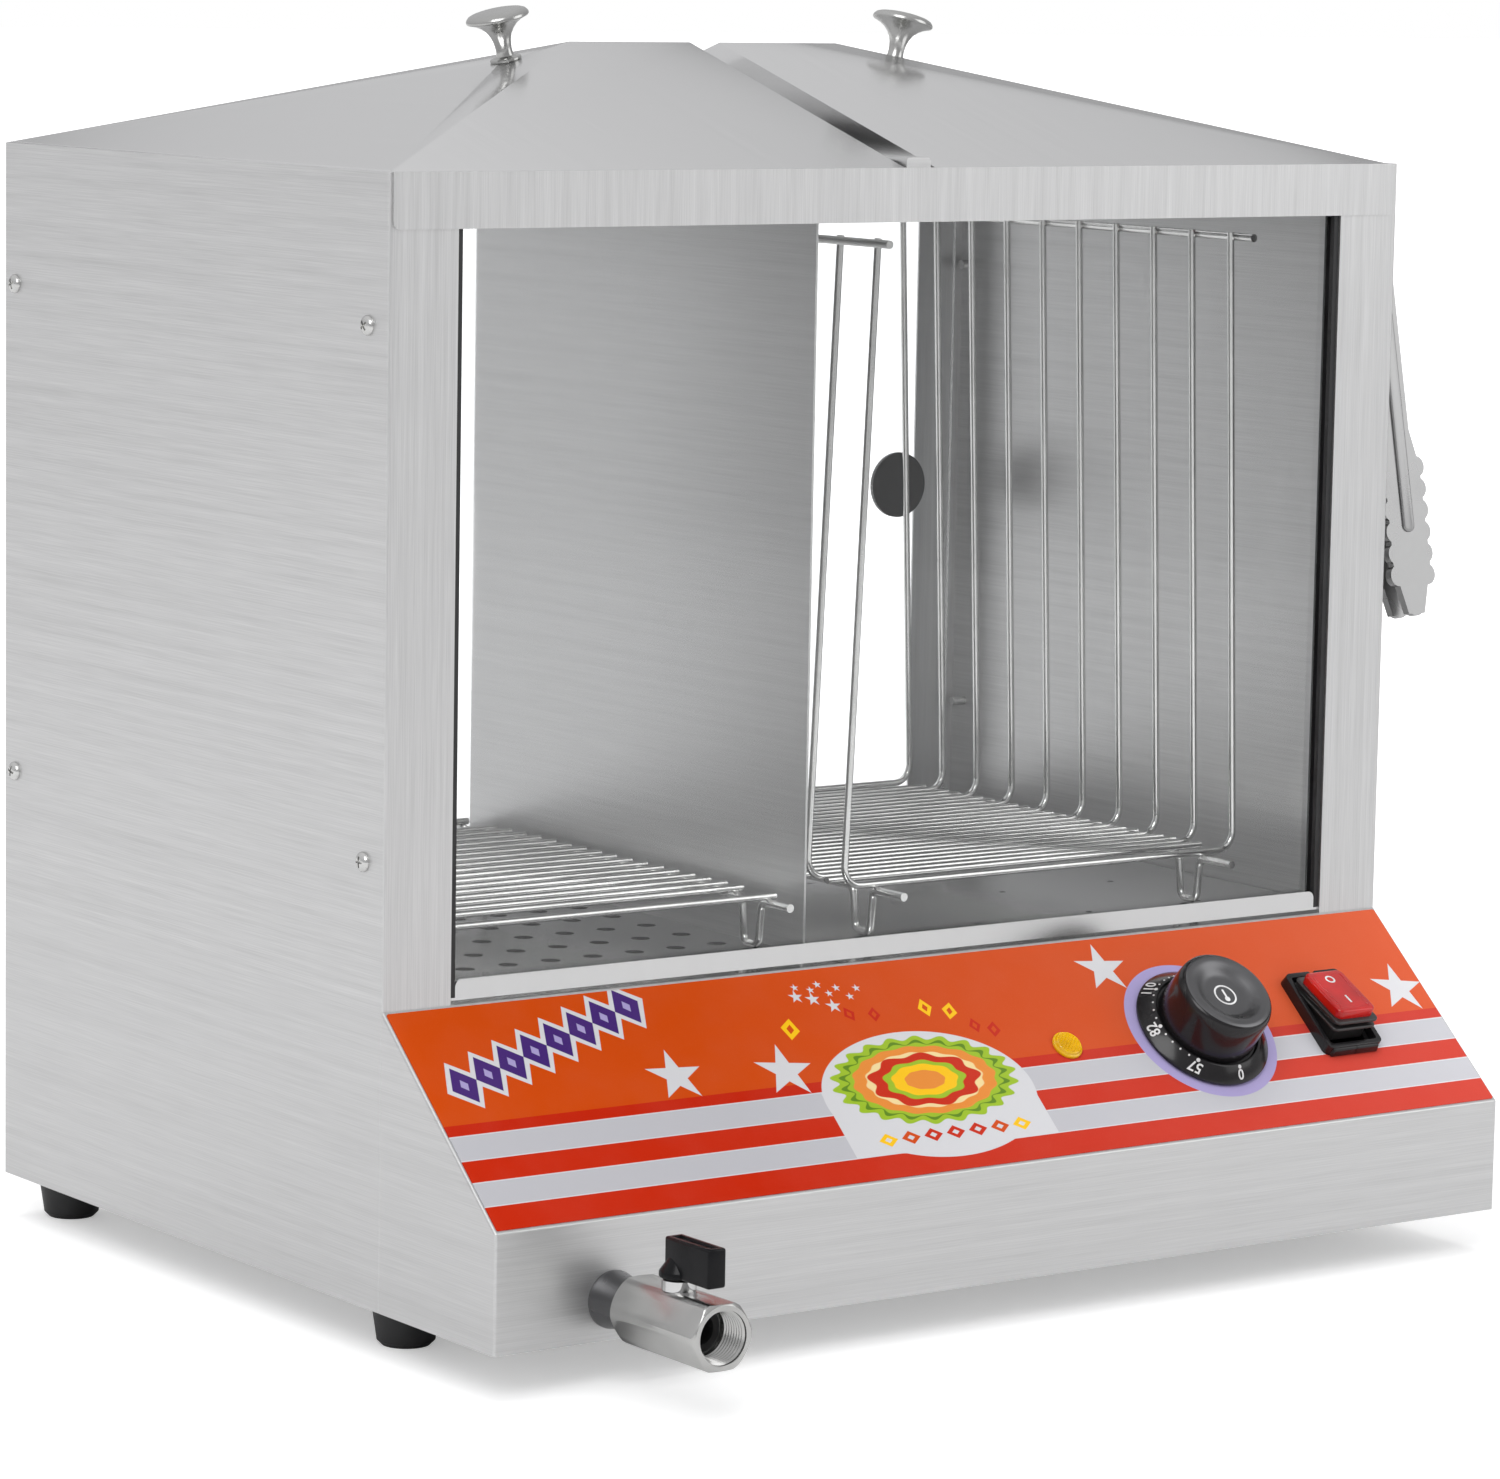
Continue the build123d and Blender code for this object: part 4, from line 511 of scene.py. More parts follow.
@made_once
def brushed_metal(name, colour, width, depth, roughness, bump, upright=0.0):
    """Sheet metal with brush lines in its colour, gloss and surface."""
    material, tree, shader, place = new_material(name)
    inputs = {
        "Position": place["Object"],
        "Facing": place["Normal"],
        "Lines per Metre": 1 / width,
        "Upright": upright,
    }
    grain = place_group(tree, "grain", inputs)
    fine = reckon(tree, "MULTIPLY", grain["Lines"], 0.6)
    lines = reckon(tree, "ADD", fine, reckon(tree, "MULTIPLY", grain["Long Lines"], 0.4))
    share = stretch(tree, lines, *NOISE_RANGE)
    lined = blend_colours(tree, share, *shades(colour, 1 - 0.8 * depth, 1 + 0.6 * depth))
    drift = stretch(tree, grain["Drift"], *NOISE_RANGE, 0.0, 0.05)
    drifted = blend_colours(tree, drift, lined, (0.9, 0.9, 0.9))
    uneven = 0.2 * depth
    gloss = stretch(tree, lines, *NOISE_RANGE, roughness - uneven, roughness + uneven)
    cover(tree, shader, drifted, gloss, lines, bump, 0.00004)
    shader.inputs["Metallic"].default_value = 1.0
    return material


def speckled(name, both_shades, grain, uneven, gloss, bump, depth):
    """A material in two shades of patches with fine pits, and its main shader."""
    material, tree, shader, place = new_material(name)
    speckle = speckle_of(tree, place, grain)
    colour = blend_colours(tree, stretch(tree, speckle["Patches"], *NOISE_RANGE), *both_shades)
    gloss = stretch(tree, speckle[uneven], *NOISE_RANGE, *gloss)
    cover(tree, shader, colour, gloss, speckle["Pits"], bump, depth)
    return material, shader.inputs


@made_once
def smooth_metal(name, colour, roughness):
    """Bright or satin metal with faint patches and fine pits."""
    gloss = (roughness * 0.8, roughness * 1.2)
    both_shades = shades(colour, 0.86, 1.08)
    material, inputs = speckled(name, both_shades, 1800.0, "Patches", gloss, 0.06, 0.00005)
    inputs["Metallic"].default_value = 1.0
    return material


@made_once
def moulded(name, colour, roughness, bump=0.12, coat=0.0, gleam=0.5):
    """Moulded plastic or rubber with fine pits and slightly uneven gloss."""
    gloss = (roughness * 0.85, roughness * 1.15)
    both_shades = shades(colour, 0.8, 1.25)
    material, inputs = speckled(name, both_shades, 3000.0, "Pits", gloss, bump, 0.00008)
    inputs["Coat Weight"].default_value = coat
    inputs["Coat Roughness"].default_value = 0.08
    inputs["Specular IOR Level"].default_value = gleam
    return material


# What clear sheets take from the light that falls through them.
CLEAR_SHADE = 0.06


@made_once
def see_through(name, colour, roughness):
    """Clear sheet, faintly smudged, that lets light through to what lies behind it."""
    material, tree, shader, place = new_material(name)
    patches = speckle_of(tree, place, 400.0)["Patches"]
    gloss = stretch(tree, patches, 0.35, 0.75, roughness, roughness + 0.05)
    tree.links.new(gloss, shader.inputs["Roughness"])
    shader.inputs["Base Color"].default_value = (*colour, 1)
    shader.inputs["Transmission Weight"].default_value = 1.0
    shader.inputs["IOR"].default_value = 1.45
    path = add_node(tree, "LightPath").outputs
    passing = reckon(tree, "MAXIMUM", path["Is Shadow Ray"], path["Is Diffuse Ray"])
    clear = add_node(tree, "BsdfTransparent", {"Color": (*(3 * [1 - CLEAR_SHADE]), 1)})
    mix = add_node(tree, "MixShader", {0: passing, 1: shader.outputs[0], 2: clear.outputs[0]})
    tree.links.new(mix.outputs[0], surface_of(tree))
    return material


class PanelPainter:
    """Lays printed shapes over each other on the control panel, in millimetres."""

    def __init__(self, tree, across, down, ground):
        self.tree = tree
        self.across = across
        self.down = down
        self.paint = ground

    def lay(self, mask, colour):
        """One colour over what lies below, where the mask is one."""
        self.paint = blend_colours(self.tree, mask, self.paint, colour)

    def shape(self, kind, across, down, **values):
        """The result of a node group for a shape centred at a place on the panel."""
        inputs = {
            "Across": self.across,
            "Down": self.down,
            "Centre Across": across,
            "Centre Down": down,
        }
        inputs.update({label.replace("_", " ").title(): value for label, value in values.items()})
        return place_group(self.tree, kind, inputs)[0]

    def stripe(self, value, low, high, softness=EDGE_SOFTNESS):
        """One where a value lies between two others."""
        inputs = {"Distance": value, "From": low, "To": high, "Softness": softness}
        return place_group(self.tree, "band", inputs)[0]

    def band(self, low, high, colour):
        """A stripe between two distances down the panel."""
        self.lay(self.stripe(self.down, low, high), colour)

    def block(self, left, right, top, bottom, colour):
        """A rectangle on the panel."""
        masks = self.stripe(self.across, left, right), self.stripe(self.down, top, bottom)
        self.lay(reckon(self.tree, "MULTIPLY", *masks), colour)

    def star(self, across, down, radius, turn, colour):
        """A five-pointed star, turned by some degrees."""
        turn = math.radians(turn)
        self.lay(self.shape("star", across, down, radius=radius, turn=turn), colour)

    def oval(self, across, down, half_width, half_height, colour):
        """An upright or lying oval."""
        sizes = {"half_width": half_width, "half_height": half_height}
        self.lay(self.shape("oval", across, down, **sizes), colour)

    def lozenge(self, across, down, half_width, half_height, turn, colour):
        """A lozenge, turned by some degrees."""
        sizes = {"half_width": half_width, "half_height": half_height}
        self.lay(self.shape("lozenge", across, down, turn=math.radians(turn), **sizes), colour)

    def rosette(self, across, down, half_width, half_height, rings):
        """Rings of petals inside each other, from the outside in."""
        sizes = {"half_width": half_width, "half_height": half_height}
        for share, petals, depth, colour in rings:
            reach = self.shape("rosette", across, down, petals=petals, depth=depth, **sizes)
            self.lay(self.stripe(reach, -1.0, share, 0.012), colour)


# Half the width of the white line between two stripes, in millimetres.
HALF_SEAM = 0.25


def paint_stripes(painter, colours):
    """The field's lower edge and the stripes that run the panel's whole width."""
    for low, high, colour in (
        (56.5, 62.0, colours.deep),
        (61.8, 73.2, colours.pale),
        (73.2, 83.7, colours.red),
        (83.7, 94.9, colours.pale),
        (94.9, 120.0, colours.red),
    ):
        painter.band(low, high, colour)
    for edge in (61.8, 73.2, 83.7, 94.9):
        painter.band(edge - HALF_SEAM, edge + HALF_SEAM, colours.white)


def paint_stars(painter, colours):
    """Four large stars and a cluster of small ones."""
    for across, down, radius, turn in (
        (-137.5, 45.5, 13.0, 14.0),
        (-87.3, 49.4, 13.5, 10.0),
        (90.5, 16.8, 13.0, 12.0),
        (235.5, 44.0, 13.5, 8.0),
    ):
        painter.star(across, down, radius, turn, colours.white)
    for across, down, radius in (
        (-63.8, 14.2, 3.4),
        (-56.5, 16.2, 3.5),
        (-48.6, 20.6, 3.7),
        (-62.0, 9.6, 1.9),
        (-55.2, 11.6, 1.9),
        (-50.8, 9.2, 2.0),
        (-47.4, 14.2, 1.9),
        (-42.7, 11.8, 2.0),
        (-38.4, 16.8, 2.0),
        (-33.4, 13.0, 2.0),
    ):
        painter.star(across, down, radius, 12.0, colours.white)


def paint_emblem(painter, colours):
    """A white arched patch with a rosette, and a row of dots and lozenges round it."""
    painter.oval(-26.5, 68.5, 50.8, 31.5, colours.white)
    painter.block(-76.8, 23.0, 62.0, 94.9, colours.white)
    painter.oval(-38.0, 92.5, 25.0, 3.6, colours.white)
    dark_leaf = (0.10, 0.22, 0.01)
    cream = (0.80, 0.62, 0.30)
    painter.rosette(
        -25.5,
        61.5,
        44.0,
        21.5,
        (
            (0.98, 22, 0.05, colours.leaf),
            (0.88, 22, 0.06, dark_leaf),
            (0.84, 22, 0.03, colours.leaf),
            (0.78, 16, 0.02, colours.tan),
            (0.64, 16, 0.02, cream),
            (0.59, 9, 0.07, colours.red),
            (0.44, 9, 0.05, colours.leaf),
            (0.36, 9, 0.03, colours.yellow),
            (0.22, 9, 0.02, colours.tan),
        ),
    )
    row = (colours.yellow, colours.orange, colours.red, colours.red, colours.red, colours.orange)
    for number, colour in enumerate(row + (colours.yellow,)):
        across = -58.0 + 11.0 * number
        painter.lozenge(across, 88.2, 4.6, 3.3, 0.0, colour)
        painter.lozenge(across, 88.2, 1.8, 1.3, 0.0, colours.white)
    for across, down, size, turn, colour in (
        (-74.6, 29.7, 5.6, 20.0, colours.yellow),
        (-43.5, 25.5, 3.8, -15.0, colours.deep),
        (-32.0, 27.0, 3.8, 15.0, colours.deep),
        (-6.4, 26.5, 4.6, 0.0, colours.yellow),
        (4.4, 29.5, 4.6, 25.0, colours.yellow),
        (12.5, 38.0, 3.8, 0.0, colours.deep),
        (20.5, 41.0, 4.2, 20.0, colours.deep),
    ):
        painter.lozenge(across, down, size * 0.75, size, turn, colour)
        painter.lozenge(across, down, size * 0.3, size * 0.45, turn, colours.orange)


def paint_lozenge_row(painter, colours):
    """A rising row of purple lozenges with pale edges at the panel's left end."""
    places = [(-231.0 + 12.6 * number, 38.5 - 4.1 * number) for number in range(8)]
    for across, down in places:
        painter.lozenge(across, down, 9.4, 12.2, -18.0, colours.white)
    for across, down in places:
        painter.lozenge(across, down, 6.6, 9.2, -18.0, colours.purple)
        painter.lozenge(across, down, 1.9, 2.9, -18.0, colours.lavender)


@made_once
def printed_panel(name, colours):
    """The printed film of the control panel: a field, stripes, stars and ornaments."""
    material, tree, shader, place = new_material(name)
    spot = add_node(tree, "VectorMath", {0: place["Object"], 1: SLOPE_TOP}, operation="SUBTRACT")
    parts = add_node(tree, "SeparateXYZ", {"Vector": spot.outputs[0]}).outputs
    across = reckon(tree, "MULTIPLY", parts["X"], 1 / MM)
    down = reckon(tree, "MULTIPLY", towards(tree, spot.outputs[0], SLOPE_DOWN), 1 / MM)

    ground = blend_colours(tree, 0.0, colours.orange, colours.orange)
    painter = PanelPainter(tree, across, down, ground)
    paint_stripes(painter, colours)
    paint_stars(painter, colours)
    paint_emblem(painter, colours)
    paint_lozenge_row(painter, colours)
    painter.oval(KNOB_ACROSS, CONTROLS_DOWN, 35.0, 35.0, colours.lavender)
    # the thin pale rim along the top edge
    painter.band(-2.0, 0.8, colours.white)

    speckle = speckle_of(tree, place, 2600.0)
    # painted light: the film is drawn a little paler, and washed a little towards white, towards
    # its right end
    painted_light_ramp = stretch(tree, across, -120.0, 250.0)
    lift = reckon(tree, "MULTIPLY_ADD", painted_light_ramp, 0.3, 1.0)
    lit = add_node(tree, "VectorMath", {0: painter.paint, "Scale": lift}, operation="SCALE")
    share = reckon(tree, "MULTIPLY", painted_light_ramp, 0.05)
    painted_washed = blend_colours(tree, share, lit.outputs[0], (1.0, 1.0, 1.0))
    share = stretch(tree, speckle["Patches"], 0.35, 0.75, 0.0, 0.015)
    faded = blend_colours(tree, share, painted_washed, (0.9, 0.6, 0.5))
    gloss = stretch(tree, speckle["Pits"], *NOISE_RANGE, 0.24, 0.28)
    cover(tree, shader, faded, gloss, speckle["Pits"], 0.05, 0.00004)
    shader.inputs["Specular IOR Level"].default_value = 0.05
    return material


def finish_named(slot, context):
    """The material for one of the record's material slots, or for a named piece's own finish."""
    metal = context.scene.steamer_metal
    control = context.scene.steamer_control
    width, depth = metal.line_width, metal.line_depth
    sheet, wide = metal.cabinet, width * 2
    finishes = {
        # colour, line width and depth, roughness, bumps, and how upright the lines are
        brushed_metal: {
            "cabinet_steel": ("Brushed Steel Level", sheet, width, depth, 0.42, 0.2),
            "upright_steel": ("Brushed Steel Upright", sheet, width, depth * 1.3, 0.4, 0.22, 1.0),
            "satin_rail": ("Satin Rail Steel", sheet, width, depth * 0.3, 0.24, 0.04, 1.0),
            "lid_steel": ("Satin Lid Steel", metal.lid, wide, depth * 0.2, 0.19, 0.0),
            "tank_steel": ("Chamber Steel", metal.chamber, wide, depth * 0.2, 0.17, 0.0),
        },
        # colour and roughness
        smooth_metal: {
            "wire_steel": ("Rack Wire", metal.wire, 0.12),
            "tongs_steel": ("Tongs Steel", metal.tongs, 0.3),
            "nickel": ("Satin Nickel", metal.nickel, 0.22),
            "chrome": ("Chromed Neck", (0.62, 0.62, 0.62), 0.08),
            "dark_nipple": ("Dark Nipple", (0.15, 0.15, 0.155), 0.3),
            "fasteners": ("Bright Screws", (0.66, 0.66, 0.65), 0.2),
            "copper": ("Copper Tube", (0.72, 0.34, 0.2), 0.3),
            "knob_cap": ("Satin Knob Cap", control.cap, 0.34),
        },
        # colour and roughness
        see_through: {
            "glass": ("Window Glass", (0.985, 0.99, 0.988), 0.0),
            "clear_plastic": ("Clear Door Plastic", (0.97, 0.975, 0.98), 0.02),
        },
        # colour and roughness, and for some also bumps, coat and gleam
        moulded: {
            "black_rubber": ("Black Rubber", (0.016, 0.016, 0.017), 0.5),
            "black_plastic": ("Black Plastic", control.black, 0.2, 0.12, 0.15, 0.3),
            "switch_rubber": ("Switch Boot Rubber", (0.022, 0.02, 0.02), 0.34, 0.12, 0.15),
            "marks": ("Printed Marks", control.marks, 0.4),
            "track_plastic": ("Grey Track Plastic", (0.35, 0.35, 0.36), 0.4),
            "valve_black": ("Valve Handle Black", (0.004, 0.004, 0.005), 0.26, 0.12, 0.0, 0.2),
            # painted shade: the seat ring is drawn near black for the shade inside the valve's
            # mouth, not in its own colour
            "ptfe": ("Dark Seat Ring", (0.05, 0.05, 0.05), 0.35),
            "pull_black": ("Door Pull Black", (0.02, 0.02, 0.022), 0.35),
            "red_plastic": ("Red Rocker Plastic", control.red, 0.14, 0.02, 0.2),
            "amber_plastic": ("Amber Lens", control.amber, 0.12, 0.02, 0.2),
        },
        printed_panel: {"label_film": ("Printed Panel", context.scene.steamer_print)},
    }
    make = next(maker for maker, rows in finishes.items() if slot in rows)
    return make(*finishes[make][slot])


# Nodes whose finish differs from the rest of their slot.
OWN_FINISH = {
    "left_side_panel": "upright_steel",
    "right_side_panel": "upright_steel",
    "front_top_rail": "upright_steel",
    "front_bottom_rail": "satin_rail",
    "drain_nipple": "dark_nipple",
    "valve_neck": "chrome",
    "tongs_hook": "fasteners",
    "tongs_front_arm": "tongs_steel",
    "tongs_rear_arm": "tongs_steel",
}


def give_finish(piece, material):
    """One material over the whole piece."""
    piece.data.materials.clear()
    piece.data.materials.append(material)


# ---------------------------------------------------------------- modelling


def open_mesh(mode="VERT", action="SELECT"):
    """Opens the active piece in edit mode, with all or none of it selected."""
    bpy.ops.object.mode_set(mode="EDIT")
    bpy.ops.mesh.select_mode(type=mode)
    bpy.ops.mesh.select_all(action=action)


def shut_mesh():
    """Leaves edit mode."""
    bpy.ops.object.mode_set(mode="OBJECT")


def deselect_all():
    """Leaves edit mode and selects nothing."""
    if bpy.context.object is not None and bpy.context.object.mode != "OBJECT":
        shut_mesh()
    bpy.ops.object.select_all(action="DESELECT")


def select_only(*pieces):
    """Selects these pieces and makes the first of them active."""
    deselect_all()
    for piece in pieces:
        piece.select_set(True)
    bpy.context.view_layer.objects.active = pieces[0]


def bake_place():
    """Works the active piece's place, turn and size into its mesh."""
    bpy.ops.object.transform_apply(location=True, rotation=True, scale=True)


def settle(piece, matrix):
    """Takes a piece from its own frame to its place, and leaves it unturned at the origin."""
    piece.matrix_world = matrix @ piece.matrix_world
    select_only(piece)
    bake_place()
    return piece


def close_up(piece):
    """Merges points that lie together and turns every face outwards."""
    select_only(piece)
    open_mesh()
    bpy.ops.mesh.remove_doubles(threshold=0.000001)
    bpy.ops.mesh.normals_make_consistent(inside=False)
    shut_mesh()
    return piece


# Points this close together, in millimetres, count as being in one place.
NEAR = 0.01
# A ring on the axis is drawn this wide, in millimetres, until its points are merged.
LEAST_RADIUS = 0.02


def turn_piece(name, outline, around=64):
    """A round piece: a ring is drawn along an outline of radii and heights in millimetres."""
    deselect_all()
    radius, height = max(outline[0][0], LEAST_RADIUS), outline[0][1]
    bpy.ops.mesh.primitive_circle_add(
        vertices=around, radius=radius * MM, fill_type="NOTHING", location=(0, 0, height * MM)
    )
    piece = bpy.context.object
    piece.name = name
    bake_place()
    open_mesh()
    for next_radius, next_height in outline[1:]:
        next_radius = max(next_radius, LEAST_RADIUS)
        lift = {"value": (0, 0, (next_height - height) * MM)}
        bpy.ops.mesh.extrude_region_move(TRANSFORM_OT_translate=lift)
        share = next_radius / radius
        bpy.ops.transform.resize(
            value=(share, share, 1), center_override=(0, 0, next_height * MM)
        )
        radius, height = next_radius, next_height
    if outline[-1][0] == 0:
        bpy.ops.mesh.merge(type="CENTER")
    if outline[0][0] == 0:
        bpy.ops.mesh.select_all(action="DESELECT")
        bpy.ops.mesh.select_non_manifold()
        bpy.ops.mesh.merge(type="CENTER")
    shut_mesh()
    return close_up(piece)


def flat_ring(name, inner, outer, bottom, top, around):
    """A turned ring with its two upper edges taken off."""
    side, fall = 0.1, 0.06
    outline = [
        (inner, bottom), (outer, bottom), (outer, top - fall), (outer - side, top),
        (inner + side, top), (inner, top - fall), (inner, bottom),
    ]  # fmt: skip
    return turn_piece(name, outline, around)


def block(name, low, high):
    """A box between two corners in millimetres, to be worked on further."""
    deselect_all()
    centre = [(first + last) / 2 * MM for first, last in zip(low, high)]
    bpy.ops.mesh.primitive_cube_add(size=1, location=centre)
    piece = bpy.context.object
    piece.name = name
    piece.scale = [(last - first) * MM for first, last in zip(low, high)]
    bake_place()
    return piece


def apply_modifier(piece, kind, **settings):
    """Adds a modifier with its settings to a piece, and applies it."""
    select_only(piece)
    bpy.ops.object.modifier_add(type=kind)
    modifier = piece.modifiers[-1]
    for name, value in settings.items():
        setattr(modifier, name, value)
    bpy.ops.object.modifier_apply(modifier=modifier.name)
    return piece


def soften(piece, width, segments=2, angle=30.0):
    """Rounds the edges of a piece that are sharper than an angle."""
    limits = {"limit_method": "ANGLE", "angle_limit": math.radians(angle)}
    return apply_modifier(piece, "BEVEL", width=width * MM, segments=segments, **limits)


def combine(piece, other, operation):
    """Cuts, joins or keeps what two closed pieces share, and removes the second."""
    apply_modifier(piece, "BOOLEAN", operation=operation, solver="EXACT", object=other)
    bpy.data.objects.remove(other, do_unlink=True)
    return piece


def pick(piece, mode, kind, test):
    """Selects in edit mode the parts of one kind that pass a test."""
    select_only(piece)
    open_mesh(mode, "DESELECT")
    shut_mesh()
    parts = getattr(piece.data, kind)
    for part in parts:
        part.select = bool(test(part))
    if not any(part.select for part in parts):
        raise RuntimeError("nothing to work on in " + piece.name)
    bpy.ops.object.mode_set(mode="EDIT")


def pick_faces(piece, test):
    """Selects in edit mode the faces whose centre and normal pass a test."""
    pick(piece, "FACE", "polygons", lambda face: test(face.center / MM, face.normal))


def pick_top(piece, top):
    """Selects in edit mode the faces that look up at a height."""
    pick_faces(piece, lambda centre, normal: normal.z > 0.99 and centre.z > top - NEAR)


def round_edges(piece, test, width, segments):
    """Bevels the edges whose two ends pass a test."""

    def chosen(edge):
        return test(*(piece.data.vertices[number].co / MM for number in edge.vertices))

    pick(piece, "EDGE", "edges", chosen)
    bpy.ops.mesh.bevel(offset=width * MM, segments=segments, affect="EDGES")
    shut_mesh()
    return piece


def upright(first, last):
    """An edge that runs along Z."""
    return abs(first.x - last.x) < NEAR and abs(first.y - last.y) < NEAR


def level_at(height):
    """A test for edges that lie level at a height."""
    return lambda first, last: max(abs(first.z - height), abs(last.z - height)) < NEAR


def step_in(*steps):
    """Insets the selected faces again and again, each time by a width and a depth."""
    for thickness, depth in steps:
        bpy.ops.mesh.inset(thickness=thickness * MM, depth=depth * MM)
    shut_mesh()


def copy_piece(piece, name):
    """A copy with its own mesh."""
    select_only(piece)
    bpy.ops.object.duplicate(linked=False)
    copy = bpy.context.object
    copy.name = name
    return copy


def join(name, pieces):
    """One piece out of several."""
    select_only(*pieces)
    bpy.ops.object.join()
    pieces[0].name = name
    pieces[0].data.name = name
    return pieces[0]


def smooth(piece, degrees=30.0):
    """Smooth shading over edges blunter than an angle."""
    select_only(piece)
    bpy.ops.object.shade_smooth_by_angle(angle=math.radians(degrees))
    return piece


def softened_copy(node, name, width, segments=2, angle=30.0):
    """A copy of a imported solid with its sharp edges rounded."""
    piece = bpy.data.objects.new(name, NODES[node].data.copy())
    bpy.context.scene.collection.objects.link(piece)
    piece.matrix_world = NODES[node].matrix_world.copy()
    select_only(piece)
    bake_place()
    if piece.data.has_custom_normals:
        bpy.ops.mesh.customdata_custom_splitnormals_clear()
    open_mesh()
    bpy.ops.mesh.remove_doubles(threshold=0.000002)
    bpy.ops.mesh.dissolve_limited(angle_limit=math.radians(0.5))
    bpy.ops.mesh.normals_make_consistent(inside=False)
    shut_mesh()
    return smooth(soften(piece, width, segments, angle), 32.0)


def finish_piece(context, piece, finish, body, slot, *hidden):
    """Gives a finished piece its look and its body, and hides what it stands for. Its slot is not
    used.
    """
    if finish is not None:
        give_finish(piece, finish_named(finish, context))
    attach(piece, body)
    if hidden:
        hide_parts(*hidden)


# ---------------------------------------------------------------- operators


class STEAMER_OT_finishes(bpy.types.Operator):
    """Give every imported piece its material"""

    bl_idname = "steamer.finishes"
    bl_label = "Give Finishes"

    def execute(self, context):
        for name, piece in NODES.items():
            give_finish(piece, finish_named(OWN_FINISH.get(name, SLOT_OF[name]), context))
        return {"FINISHED"}


class STEAMER_OT_lids(bpy.types.Operator):
    """Round the folded edges of the two roof lids"""

    bl_idname = "steamer.lids"
    bl_label = "Soften Lids"

    def execute(self, context):
        for side in ("left_lid", "right_lid"):
            lid = softened_copy(side, side + "_folded", 0.5, 3)
            finish_piece(context, lid, "lid_steel", side, "lid_steel", side)
        return {"FINISHED"}


LID_KNOB_OUTLINE = [
    (0, -8), (2, -8), (2, 0), (6.2, 0), (6.5, 0.3), (6.5, 1), (6.1, 1.35), (4.4, 1.6),
    (3.7, 2.1), (3.45, 3.2), (3.35, 4.8), (3.45, 6.5), (3.8, 8.5), (4.5, 10.6), (5.7, 12.7),
    (7.5, 14.6), (9.6, 15.95), (11.6, 16.8), (12.6, 17.15), (13, 17.6), (13, 18.2),
    (12.7, 18.9), (11.9, 19.8), (10.5, 20.4), (8.5, 20.8), (5, 20.98), (0, 21),
]  # fmt: skip


class STEAMER_OT_lid_knobs(bpy.types.Operator):
    """Turn the two lid knobs with their nuts"""

    bl_idname = "steamer.lid_knobs"
    bl_label = "Turn Lid Knobs"

    def execute(self, context):
        for side, foot, way in LID_KNOBS:
            knob = turn_piece("lid_knob_body", LID_KNOB_OUTLINE)
            nut = turn_piece("lid_knob_nut", [(0, -4), (3.6, -4), (4, -3.6), (4, -1.1), (0, -1)], 6)
            piece = join(side + "_lid_knob_turned", [knob, nut])
            settle(piece, frame_at(foot, (way * ROOF_RISE, 0, ROOF_RUN), (0, 1, 0)))
            smooth(piece)
            node = side + "_lid_knob"
            finish_piece(context, piece, "nickel", side + "_lid", "nickel", node)
        return {"FINISHED"}


KNOB_OUTLINE = [
    (0, 18), (3.05, 18), (3.05, 3), (6, 3), (6, 0.8), (29.4, 0.8), (29.9, 1.1), (30, 1.5),
    (30, 2.1), (29.6, 2.6), (24.6, 6.4), (24, 6.75), (23.4, 6.7), (22.9, 6.2), (22.7, 5.2),
    (21.95, 5.2), (21.95, 6.6), (21.2, 20.5), (20.95, 22.8), (20.3, 24.6), (19.2, 25.6),
    (17.6, 26), (15.9, 25.85), (14.4, 25.35), (12.6, 24.3), (11.2, 23.5), (10, 23.1),
    (8.6, 23), (0, 23),
]  # fmt: skip
CAP_RADIUS = 19.4
CAP_HEIGHT = 22.9
DIAL_NUMBERS = (("0", 84.5), ("57", 130.5), ("82", 180.5), ("110", 230.0))
SMALL_DOTS = (
    (140.5, 150.5, 160.5, 170.5, 190.5, 200.5, 210.5, 220.5) + (239.0, 248.5, 256.0, 263.0, 270.0)
)  # fmt: skip
NUMBER_RADIUS = 27.1
DOT_RADIUS = 24.75


# The knob's sloping skirt: its foot, how much it rises over a run, and its slope as shares.
SKIRT_FOOT_RADIUS, SKIRT_FOOT_HEIGHT = 29.6, 2.6
SKIRT_RISE, SKIRT_RUN = 3.8, 5
SKIRT_SINE, SKIRT_COSINE = 0.605, 0.796


def skirt_frame(angle, radius, lift):
    """A place on the sloping skirt of the knob, in the knob's own frame."""
    turn = math.radians(angle)
    away = Vector((math.cos(turn), -math.sin(turn), 0))
    up = Vector((0, 0, 1))
    out = away * SKIRT_SINE + up * SKIRT_COSINE
    along = away * SKIRT_COSINE - up * SKIRT_SINE
    height = SKIRT_FOOT_HEIGHT + (SKIRT_FOOT_RADIUS - radius) / SKIRT_RUN * SKIRT_RISE
    return frame_at((away * radius + up * height + out * lift) * MM, out, along)


# The height of a digit as a share of the font's size.
DIGIT_SHARE = 0.7


def dial_number(body, angle, height):
    """A raised number on the skirt."""
    deselect_all()
    bpy.ops.object.text_add(location=(0, 0, 0))
    text = bpy.context.object
    text.data.body = body
    text.data.size = height / DIGIT_SHARE
    text.data.align_x = "CENTER"
    text.data.align_y = "CENTER"
    text.data.extrude = 0.06 * MM
    # the digits are a little bolder and narrower than the built-in font's
    text.data.offset = height * 0.022
    text.data.resolution_u = 4
    select_only(text)
    bpy.ops.object.convert(target="MESH")
    piece = bpy.context.object
    piece.scale = (0.8, 1, 1)
    settle(piece, skirt_frame(angle, NUMBER_RADIUS, 0.06))
    return close_up(piece)


def dial_dot(radius, angle):
    """A small domed dot on the skirt."""
    outline = [(0, -0.2), (radius, -0.2), (radius, 0.08), (radius * 0.8, 0.16), (0, 0.2)]
    return settle(turn_piece("dial_dot", outline, 20), skirt_frame(angle, DOT_RADIUS, 0.0))


